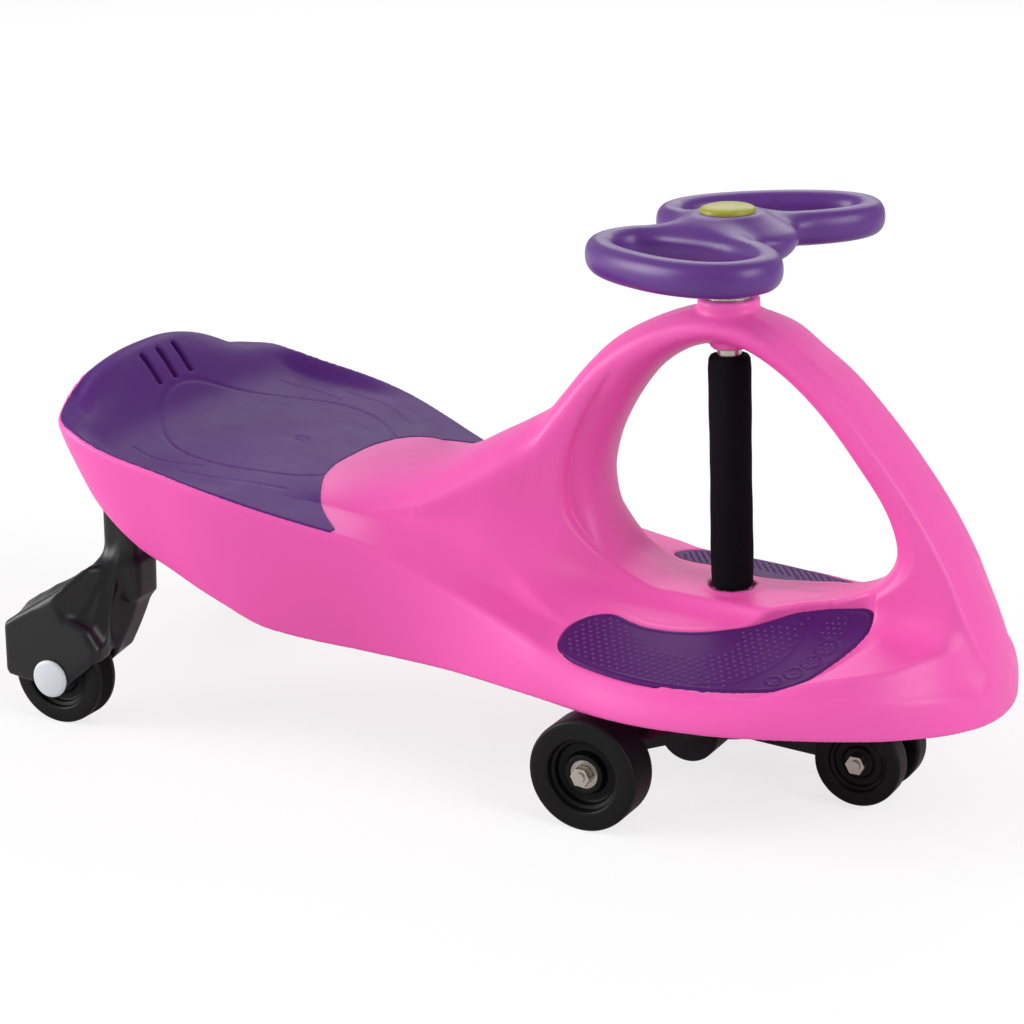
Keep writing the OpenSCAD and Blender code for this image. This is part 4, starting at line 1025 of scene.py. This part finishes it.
@dataclass
class Seat:
    """The purple seat with its slots and moulded lines."""

    hull: Hull
    slot_len: float = 29.0
    slot_r: float = 3.0
    slot_deep: float = 6.0
    slot_pitch: float = 22.0
    slot_at: tuple[float, float] = (-329.0, 255.5)
    slot_lean: float = math.radians(52)
    circle_at: tuple[float, float] = (-226.0, 0.0)
    circle_r: float = 92.0
    groove: float = 0.7
    groove_half: float = 1.5
    gate_x: float = -206.0
    step: float = 1.5

    SWOOSHES = (((-290, 108), (-262, 112), (-232, 104)), ((-238, 124), (-200, 117), (-160, 97)))

    def __post_init__(self) -> None:
        """Charts the distance to the moulded lines."""
        run = np.linspace(0, 2, 24)
        lines = [
            np.stack([Line([(k, p[c]) for k, p in enumerate(w)])(run) for c in (0, 1)], 1) for w in self.SWOOSHES
        ]

        def near(u: Array, v: Array) -> Array:
            ring = np.abs(np.hypot(u - self.circle_at[0], v) - self.circle_r)
            gate = np.abs(np.hypot(u - self.gate_x, v) - 4.5)
            found = np.minimum(ring, gate)
            for line in lines:
                for p in line:
                    found = np.minimum(found, np.hypot(u - p[0], v - p[1]))
            return found

        self.lines = Chart((-370, -6), (-80, 170), 1.0, near)

    def field(self, x: Array, y: Array, z: Array) -> Array:
        """The seat's shell, with its lines and slots cut in."""
        a = np.abs(y)
        hull = self.hull
        gx, gy = (np.clip(s(x, a), -3, 3) for s in hull.top_slopes)
        level = (z - hull.top(x, a) - hull.proud) / np.sqrt(1 + gx**2 + gy**2)
        thick = hull.seat_t + 4.0 * ease((-300 - x) / 15)
        plate = np.maximum(level + self.groove * np.exp(-((self.lines(x, a) / self.groove_half) ** 2)), -level - thick)
        plate = meet(plate, hull.seat_plan(x, a), 1.2)
        along = (x - self.slot_at[0]) * math.cos(self.slot_lean) - (z - self.slot_at[1]) * math.sin(self.slot_lean)
        beside = a - self.slot_pitch * np.clip(np.round(a / self.slot_pitch), 0, 1)
        reach = np.maximum(np.abs(along) - self.slot_len / 2 + self.slot_r, 0)
        slots = np.sqrt(reach**2 + beside**2) - self.slot_r
        slots = np.maximum(slots, -level - self.slot_deep)
        return cut(plate, np.where(x < -290, slots, 50.0), 2.2)

    def build(self, paints: Paints) -> None:
        """Nets the seat and has it stand for the CAD pan."""
        step = self.step * 1
        shape = Net(self.field, (-370, -164, 176), (-84, 164, 280), step).build(2)
        piece = make_piece("seat_moulding", shape, paints[Slot.SEAT])
        settle_piece(piece, "body", Slot.SEAT, "seat_pan")


@dataclass
class SeatScrews:
    """The six screws that hold the seat from below."""

    hull: Hull
    places: tuple[tuple[float, float], ...] = ((-266.0, 47.4), (-209.0, 53.7), (-152.0, 34.8))
    length: float = 18.0
    head: tuple[float, float] = (4.0, 2.4)
    shank_r: float = 1.9
    tip: float = 1.6

    def build(self, paints: Paints) -> None:
        """Makes the screws and has them stand for the CAD ones."""
        r, h = self.head
        low, s = -self.length, self.shank_r
        profile = [(0, low), (r - 0.5, low), (r, low + 0.5), (r, low + h - 0.3), (r - 0.3, low + h), (s, low + h)]
        profile += [(s, -2), (0.6, 0), (0, 0)]
        screw = lathe(profile, 24)
        made = []
        for x, a in self.places:
            top = float(self.hull.top(np.array(x), np.array(a))) - self.tip
            made += [(screw[0] + np.array([x, y, top]), screw[1]) for y in (-a, a)]
        piece = make_piece("seat_fixing_screws", together(made), paints[Slot.STEEL])
        settle_piece(piece, "body", Slot.STEEL, "seat_screws")


@dataclass
class FootMats:
    """The two dotted foot mats, each with the outline of a sole and five toes."""

    hull: Hull
    dot_r: float = 1.3
    dot_h: float = 0.9
    dot_pitch: float = 6.0
    toe_pitch: float = 4.6
    line_h: float = 0.55
    line_half: float = 0.9
    lens: tuple[float, float, float, float] = (158.0, 70.0, 40.0, 29.0)
    step: float = 1.0

    SOLE = (
        (208, 42), (226, 37.5), (237, 42), (239.5, 54), (237, 73), (230.5, 94), (221.5, 109), (210, 119), (194, 125.5),
    )  # fmt: skip
    TOES = ((260.5, 38, 10.5), (263, 57, 8), (258.5, 74, 7.3), (251, 89, 6.5), (241.5, 102, 5.5))

    def __post_init__(self) -> None:
        """Charts the distance to the raised lines."""
        sole = np.stack([Line([(k, p[c]) for k, p in enumerate(self.SOLE)])(np.linspace(0, 8, 120)) for c in (0, 1)], 1)

        def near(u: Array, v: Array) -> Array:
            found = np.abs(self.hull.mat_plan(u, v) + 3.0)
            for p in sole:
                found = np.minimum(found, np.hypot(u - p[0], v - p[1]))
            for x, y, r in self.TOES:
                found = np.minimum(found, np.abs(np.hypot(u - x, v - y) - r))
            return found

        self.lines = Chart((60, 0), (300, 160), 0.8, near)

    def field(self, x: Array, y: Array, z: Array) -> Array:
        """A left mat's plate with its raised lines."""
        hull = self.hull
        level = (z - hull.mat_height(x, y)) * 0.975
        raised = level - self.line_h * np.exp(-((self.lines(x, y) / self.line_half) ** 2))
        plate = np.maximum(raised, -level - hull.mat_t)
        return meet(plate, hull.mat_plan(x, y), 1.2)

    def dotted(self, x: float, y: float) -> bool:
        """Whether a dot stands at a place of the mat."""
        if float(self.hull.mat_plan(np.array(x), np.array(y))) > -5.5:
            return False
        for tx, ty, r in self.TOES:
            if math.hypot(x - tx, y - ty) < r + 1.5:
                return False
        if float(self.lines(np.array(x), np.array(y))) < 2.2:
            return False
        lens = ((x - self.lens[0]) / self.lens[2]) ** 2 + ((y - self.lens[1]) / self.lens[3]) ** 2
        beyond = x > 239 or (x - 230.5) * 15 + (y - 94) * 9 > 0 and x > 205
        return lens > 1 and not beyond

    def dots(self) -> Shape:
        """Small domes over the mat."""
        r, h = self.dot_r, self.dot_h
        dome = lathe([(r, -0.3), (r * 0.9, h * 0.45), (r * 0.5, h * 0.9), (0, h)], 8)
        rows = int(90 / (self.dot_pitch * 0.866))
        x0, y0, _ = self.hull.mat_at
        grid = [(j + 0.5 * (i % 2), i * 0.866) for i in range(-rows, rows + 1) for j in range(-24, 25)]
        spots = [(x0 + u * self.dot_pitch, y0 + v * self.dot_pitch) for u, v in grid]
        spots = [spot for spot in spots if self.dotted(*spot)]
        close = [(u * self.toe_pitch, v * self.toe_pitch) for u, v in grid]
        for x, y, size in self.TOES:
            spots += [(x + u, y + v) for u, v in close if math.hypot(u, v) < size - 2]
        high = self.hull.mat_height(*np.array(spots).T)
        return together([(dome[0] + np.array([x, y, z]), dome[1]) for (x, y), z in zip(spots, high)])

    def build(self, paints: Paints) -> None:
        """Makes both mats and has them stand for the CAD plates."""
        step = self.step * 1
        plate = Net(self.field, (70, 16, 106), (294, 146, 168), step).build(2)
        shape = together([plate, self.dots()])
        for side in Side:
            made = shape if side is Side.LEFT else mirrored(shape)
            piece = make_piece(f"foot_mat_{side.word}_dotted", made, paints.mat)
            settle_piece(piece, "body", Slot.SEAT, f"foot_mat_{side.word}")


@dataclass
class Steering:
    """The two-loop wheel, its cap and the padded column."""

    rim_at: float = 262.66
    loop_half: tuple[float, float] = (73.25, 41.25)
    loop_power: float = 2.2
    loop_y: float = 78.0
    splay: float = math.radians(26.5)
    rim_half: tuple[float, float] = (10.75, 12.5)
    rim_power: float = 2.3
    hub_low: float = -40.0
    hub_top: float = 20.4
    hub_long: float = 0.2
    cap_r: float = 20.0
    foam_r: float = 15.8
    foam_ends: tuple[float, float] = (2.0, 178.2)
    step: float = 1.8

    def __post_init__(self) -> None:
        """Draws the loop's middle line and the hub's outline."""
        t = np.linspace(0, 2 * math.pi, 160, endpoint=False)
        power = 2 / self.loop_power
        u = self.loop_half[0] * np.sign(np.cos(t)) * np.abs(np.cos(t)) ** power
        v = self.loop_half[1] * np.sign(np.sin(t)) * np.abs(np.sin(t)) ** power
        line = np.stack([u, v], 1)
        self.loop = Chart((-110, -80), (110, 80), 1.5, lambda p, q: outline_distance(line, p, q))
        hub = ((-42, 19.5), (-30, 20.5), (-18, 29), (-8, 39), (0, 43), (7, 43), (13, 36), (20.4, 25), (24, 22))
        self.hub = Line(hub)

    def field(self, x: Array, y: Array, z: Array) -> Array:
        """The wheel: two loops and the hub between them."""
        u, s = Column.places(x, y, z)
        s = s - self.rim_at
        v = np.abs(y) - self.loop_y
        p = u * math.cos(self.splay) + v * math.sin(self.splay)
        q = v * math.cos(self.splay) - u * math.sin(self.splay)
        d = np.abs(self.loop(p, q)) / self.rim_half[0]
        h = np.abs(s) / self.rim_half[1]
        ring = ((d**self.rim_power + h**self.rim_power) ** (1 / self.rim_power) - 1) * self.rim_half[0]
        r = np.sqrt(u * u + y * y)
        long = 1 + self.hub_long * ease((17 - s) / 18) * ease((s + 24) / 14)
        spread = np.sqrt((u / long) ** 2 + y * y)
        hub = np.maximum((spread - self.hub(s)) * 0.68, np.maximum(s - self.hub_top, self.hub_low - s))
        body = join(ring, hub, 15.0)
        body = np.maximum(body, self.hub_low - s)
        body = meet(body, s - self.hub_top, 2.0)
        return np.maximum(body, -np.maximum(r - 9.3, s - 0.0))

    def build(self, paints: Paints) -> None:
        """Makes the wheel, the cap and the foam."""
        step = self.step * 1
        at = Column.at(self.rim_at)
        low, high = at + np.array([-90, -146, -48]), at + np.array([90, 146, 32])
        wheel = make_piece("steering_loops", Net(self.field, low, high, step).build(2), paints[Slot.WHEEL])
        settle_piece(wheel, "steering", Slot.WHEEL, "steering_wheel")
        r = self.cap_r
        profile = fillet([(0, -3), (r, -3, 0.4), (r, 2.2, 1.6), (r * 0.8, 3.9, 3), (r * 0.4, 4.8, 3), (0, 5.0)], 4)
        dome = placed(lathe(profile, 64), Column.at(self.rim_at + self.hub_top), Column.up)
        cap = make_piece("steering_cap_dome", dome, paints[Slot.CAP], 40)
        settle_piece(cap, "steering", Slot.CAP, "steering_cap")
        self.pad(paints)

    def pad(self, paints: Paints) -> None:
        """The foam sleeve, a little uneven, with soft ends."""
        low, high = self.foam_ends
        r = self.foam_r - 0.25
        rows = [(9.6, low + 1.5), (r - 4.5, low), (r - 1.6, low + 0.7), (r - 0.3, low + 3)]
        for k in range(1, 24):
            t = k / 24
            rows.append((r + 0.2 * math.sin(9 * t) - 0.12 * math.sin(31 * t), mix(low + 3, high - 3, t)))
        rows += [(r - 0.3, high - 3), (r - 1.6, high - 0.7), (r - 4.5, high), (9.6, high - 1.5)]
        foam = make_piece("foam_grip", placed(lathe(rows, 48), Column.foot, Column.up), paints[Slot.FOAM])
        settle_piece(foam, "steering", Slot.FOAM, "foam_sleeve")


@dataclass(frozen=True)
class WheelSize:
    """A wheel's place and its sizes, with depths from its outer face."""

    name: str
    axle: tuple[float, float]
    out: float
    radius: float
    width: float
    dish_r: float
    dish: float
    hub_r: float
    sink: float
    bore: float
    grooves: int
    bearing_r: float = 0.0


class Wheels:
    """The six wheels and their bearings."""

    SIZES = (
        WheelSize("main", (116.84, 42.0), 154.0, 42.0, 32.0, 27.5, 11.0, 13.5, 5.0, 11.0, 0, 11.0),
        WheelSize("safety", (277.84, 36.5), 29.3, 33.0, 18.0, 22.4, 6.0, 10.0, 4.0, 4.1, 0),
        WheelSize("rear", (-337.0, 39.5), 156.0, 39.5, 24.0, 27.0, 7.0, 14.0, 5.0, 11.0, 5, 11.0),
    )

    @staticmethod
    def profile(size: WheelSize) -> list[tuple[float, float]]:
        """Half of the wheel's section, from the tread's middle to the bore's, as radius and height."""
        top = size.width / 2
        rows = []
        for k in range(size.grooves):
            h = (k + 0.5) * (top - 5) / max(size.grooves, 1)
            r = size.radius
            rows += [(r, h - 0.7), (r - 0.7, h - 0.35), (r - 0.7, h + 0.35), (r, h + 0.7)]
        rows += fillet(
            [
                (size.radius, top - 6),
                (size.radius, top, 5.0),
                (size.dish_r, top, 1.6),
                (size.dish_r - 1.2, top - size.dish * 0.5, 0.6),
                (size.dish_r - 3.4, top - size.dish * 0.5 - 0.6, 0.6),
                (size.dish_r - 4.4, top - size.dish, 2.0),
                (size.hub_r + 2.5, top - size.dish, 1.6),
                (size.hub_r + 1.0, top - size.sink + 0.6, 0.8),
                (size.bore + 0.4, top - size.sink + 0.6, 0.5),
                (size.bore, top - size.sink - 0.4),
            ],
            4,
        )
        return rows

    def build(self, paints: Paints) -> None:
        """Makes each wheel and bearing on its own body."""
        for size in self.SIZES:
            half = self.profile(size)
            whole = [(r, -h) for r, h in half[::-1]] + half
            shape = lathe(whole[::-1], 96, True)
            for side in Side:
                self._place(size, side, shape, paints)

    def _place(self, size: WheelSize, side: Side, shape: Shape, paints: Paints) -> None:
        """Puts one wheel, and its bearings if it has them, on one side."""
        body = f"{size.name}_wheel_{side.word}"
        at = (size.axle[0], side.value * (size.out - size.width / 2), size.axle[1])
        out = (0, side.value, 0)
        piece = make_piece(f"{body}_tread", placed(shape, at, out), paints[Slot.TYRE], 38)
        settle_piece(piece, body, Slot.TYRE, body)
        if size.bearing_r:
            face = size.width / 2 - size.sink
            rings = []
            for low in (face - 7, -face):
                rows = self.bearing_profile(size.bearing_r - 0.05, low)
                rings.append(lathe(rows[::-1], 48, True))
            ringed = placed(together(rings), at, out)
            bearing = make_piece(f"{size.name}_bearings_{side.word}_shielded", ringed, paints[Slot.STEEL], 30)
            settle_piece(bearing, body, Slot.STEEL, f"{size.name}_bearings_{side.word}")

    @staticmethod
    def bearing_profile(r: float, low: float) -> list[tuple[float, float]]:
        """A ball bearing's closed section with sunk shields."""
        high = low + 7
        ends = []
        for h, s in ((low, 1), (high, -1)):
            row = [(r, h + s * 0.4), (r - 0.4, h), (r - 1.8, h), (r - 2.0, h + s * 0.5)]
            row += [(6.3, h + s * 0.5), (6.1, h), (4.3, h), (4.05, h + s * 0.3)]
            ends.append(row)
        return ends[0][::-1] + ends[1]


@dataclass
class RearArms:
    """The two black arms that carry the rear wheels, with their hub caps."""

    out: float = 163.4
    inner: float = 124.5
    back: float = -379.7
    post: tuple[float, float, float, float] = (-298.0, 109.0, 15.0, 15.0)
    post_top: float = 209.5
    axle: tuple[float, float] = (-337.0, 39.5)
    cavity_r: float = 42.5
    wall: float = 5.0
    step: float = 1.8

    def __post_init__(self) -> None:
        """Draws the arm's outline seen from the side."""
        shares = (
            (0, 0.86), (0.6, 0.81), (1.45, 0.83), (2.16, 1.48), (2.2, 1.75), (1.95, 2.1), (1.3, 2.34), (0.7, 2.28),
            (0.3, 2.12), (0, 1.92),
        )  # fmt: skip
        house = np.array([(p * 39.5 - 380, q * 39.5) for p, q in shares])
        self.house = Chart((-400, 10), (-250, 220), 1.5, lambda u, v: outline_distance(house, u, v))
        reach = [
            (-379, 40), (-360, 36), (-322, 34), (-300, 56), (-284, 98), (-283, 128), (-313, 128), (-330, 112),
            (-355, 96), (-379, 78),
        ]  # fmt: skip
        reach = np.array(reach, float)
        self.reach = Chart((-400, 10), (-250, 220), 1.5, lambda u, v: outline_distance(reach, u, v))
        self.eaves = Line(((-380, 76), (-368, 84), (-352, 90), (-329, 92.4), (-303, 83), (-293, 72)))

    def field(self, x: Array, y: Array, z: Array) -> Array:
        """A left arm: the wheel housing, the post and the web between them."""
        mid, half = (self.out + self.inner) / 2, (self.out - self.inner) / 2
        roof = np.maximum(0, np.minimum(118 + 0.61 * (x + 330), 130) - self.eaves(x))
        lift = roof * ease((157 - y) / 31) * ease((z - 50) / 45)
        house = meet(self.house(x, z - lift), np.abs(y - mid) - half, 8.0) * 0.8
        t = ease((x + 335) / 48)
        web = meet(self.reach(x, z), np.abs(y - mix(mid, self.post[1], t)) - mix(half, self.post[3], t), 8.0)
        px, py = np.abs(x - self.post[0]) - self.post[2] + 8, np.abs(y - self.post[1]) - self.post[3] + 8
        post = np.sqrt(np.maximum(px, 0) ** 2 + np.maximum(py, 0) ** 2) + np.minimum(np.maximum(px, py), 0) - 8
        post = np.maximum(post, np.maximum(z - self.post_top, 104 - z))
        arm = join(join(house, web, 6.0), post, 12.0)
        arm = np.maximum(np.maximum(arm, y - self.out), self.back - x)
        r = np.hypot(x - self.axle[0], z - self.axle[1])
        room = np.maximum(r - self.cavity_r, np.abs(y - mid) - half + self.wall)
        return cut(arm, room, 1.5)

    def build(self, paints: Paints) -> None:
        """Makes both arms and their caps."""
        step = self.step * 1
        shape = Net(self.field, (-386, 90, 24), (-272, 170, 216), step).build(2)
        profile = [(0, 0), (14.6, 0, 0.3), (15, 1.2, 0.5), (15, 2.4, 1.2), (13.4, 3.6, 1.5), (7, 4.8, 3), (0, 5.0)]
        cap = lathe(fillet(profile, 4), 64)
        for side in Side:
            made = shape if side is Side.LEFT else mirrored(shape)
            arm = make_piece(f"rear_arm_{side.word}_moulding", made, paints[Slot.FRAME])
            settle_piece(arm, "body", Slot.FRAME, f"rear_arm_{side.word}")
            at = (self.axle[0], side.value * self.out, self.axle[1])
            turned = placed(cap, at, (0, side.value, 0))
            dome = make_piece(f"rear_hub_cap_{side.word}_dome", turned, paints[Slot.HUB_CAP], 40)
            settle_piece(dome, "body", Slot.HUB_CAP, f"rear_hub_cap_{side.word}")


class Hardware:
    """CAD nodes that stay: the bogie, axles, nuts, bushes, washers and bolts."""

    ROUND = 0.5

    @staticmethod
    def build(frame: dict, paints: Paints) -> None:
        """Gives every node that is still shown its finish and softened edges."""
        slots = {p["node"]: Slot(p["material_slot"]) for p in frame["record"]["subparts"]}
        for name, node in frame["nodes"].items():
            if node.hide_render:
                continue
            node.data.materials.clear()
            node.data.materials.append(paints[slots[name]])
            soft = node.modifiers.new("soft_edges", "BEVEL")
            soft.width = Hardware.ROUND * MM
            soft.segments = 2
            soft.limit_method = "ANGLE"
            soft.angle_limit = math.radians(40)
            LOG.info("%s keeps its CAD shape", name)


# The stage


@dataclass
class Studio:
    """Floor, lights and the camera at the photograph's angle."""

    eye: tuple[float, float, float] = (985.0, -1928.0, 882.0)
    azimuth: float = 27.5
    elevation: float = 18.0
    focal: float = 3000.0 / 1024.0 * 36.0
    floor_half: float = 30.0

    def build(self) -> None:
        """Makes everything round the object."""
        self._camera()
        self._floor()
        self._world()
        self._lamp("key_softbox", (-3.8, -2.0, 1.5), 2.8, 190)
        self._lamp("fill_softbox", (4.1, -0.6, 2.3), 2.6, 115)
        self._lamp("back_softbox", (-0.8, 3.0, 2.4), 2.6, 40)
        bpy.context.scene.view_settings.view_transform = "Standard"

    def _camera(self) -> None:
        """The camera, where the photograph was taken from."""
        data = bpy.data.cameras.new("view")
        data.sensor_width, data.lens = 36.0, self.focal
        data.clip_start, data.clip_end = 0.05, 200.0
        a, e = math.radians(self.azimuth), math.radians(self.elevation)
        back = Vector((math.sin(a) * math.cos(e), -math.cos(a) * math.cos(e), math.sin(e)))
        made = bpy.data.objects.new("view", data)
        made.location = Vector(self.eye) * MM
        made.rotation_mode = "QUATERNION"
        made.rotation_quaternion = (-back).to_track_quat("-Z", "Y")
        bpy.context.scene.collection.objects.link(made)
        bpy.context.scene.camera = made

    def _floor(self) -> None:
        """A plain pale floor."""
        h = self.floor_half
        data = bpy.data.meshes.new("floor")
        data.from_pydata([(-h, -h, 0), (h, -h, 0), (h, h, 0), (-h, h, 0)], [], [(0, 1, 2, 3)])
        made = bpy.data.objects.new("floor", data)
        bpy.context.scene.collection.objects.link(made)
        paint = bpy.data.materials.new("pale_floor")
        paint.use_nodes = True
        tree = paint.node_tree
        tree.nodes.clear()
        ray = add(tree, "ShaderNodeLightPath").outputs
        seen = math_of(tree, "MAXIMUM", ray["Is Camera Ray"], ray["Is Transmission Ray"])
        dim, pale = (0.8, 0.8, 0.8, 1), (0.93, 0.93, 0.93, 1)
        tint = add(tree, "ShaderNodeMix", {"data_type": "RGBA"}, i0=seen, i6=dim, i7=pale)
        matt = add(tree, "ShaderNodeBsdfDiffuse", Color=tint.outputs[2], Roughness=0.5)
        white = add(tree, "ShaderNodeEmission", Color=(1, 1, 1, 1), Strength=1.0)
        share = math_of(tree, "MULTIPLY", seen, 0.75)
        shader = add(tree, "ShaderNodeMixShader", i0=share, i1=matt.outputs[0], i2=white.outputs[0])
        out = add(tree, "ShaderNodeOutputMaterial")
        tree.links.new(shader.outputs[0], out.inputs[0])
        data.materials.append(paint)

    @staticmethod
    def _world() -> None:
        """Even white light from all round."""
        world = bpy.data.worlds.new("studio")
        bpy.context.scene.world = world
        world.use_nodes = True
        tree = world.node_tree
        seen = add(tree, "ShaderNodeLightPath").outputs["Is Camera Ray"]
        level = add(tree, "ShaderNodeMapRange", Value=seen, To_Min=0.5, To_Max=1.0)
        shade = tree.nodes["Background"]
        shade.inputs["Color"].default_value = (1.0, 1.0, 1.0, 1.0)
        tree.links.new(level.outputs[0], shade.inputs["Strength"])

    @staticmethod
    def _lamp(name: str, at: tuple[float, float, float], size: float, power: float) -> None:
        """A square softbox that faces the car."""
        data = bpy.data.lights.new(name, "AREA")
        data.size, data.energy = size, power
        made = bpy.data.objects.new(name, data)
        made.location = Vector(at)
        made.rotation_mode = "QUATERNION"
        made.rotation_quaternion = (Vector((0, 0, 0.2)) - made.location).to_track_quat("-Z", "Y")
        bpy.context.scene.collection.objects.link(made)


def clear_scene() -> None:
    """Removes whatever the scene starts with."""
    for found in list(bpy.data.objects):
        bpy.data.objects.remove(found)


def main() -> None:
    """Builds every sub-assembly in order."""
    logging.basicConfig(level=logging.INFO, format="%(name)s: %(message)s")
    clear_scene()
    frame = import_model()
    paints = Paints()
    hull = Hull()
    hull.build(paints)
    Seat(hull).build(paints)
    SeatScrews(hull).build(paints)
    FootMats(hull).build(paints)
    Steering().build(paints)
    Wheels().build(paints)
    RearArms().build(paints)
    Hardware.build(frame, paints)
    Studio().build()
    bpy.context.view_layer.update()


if __name__ == "__main__":
    main()
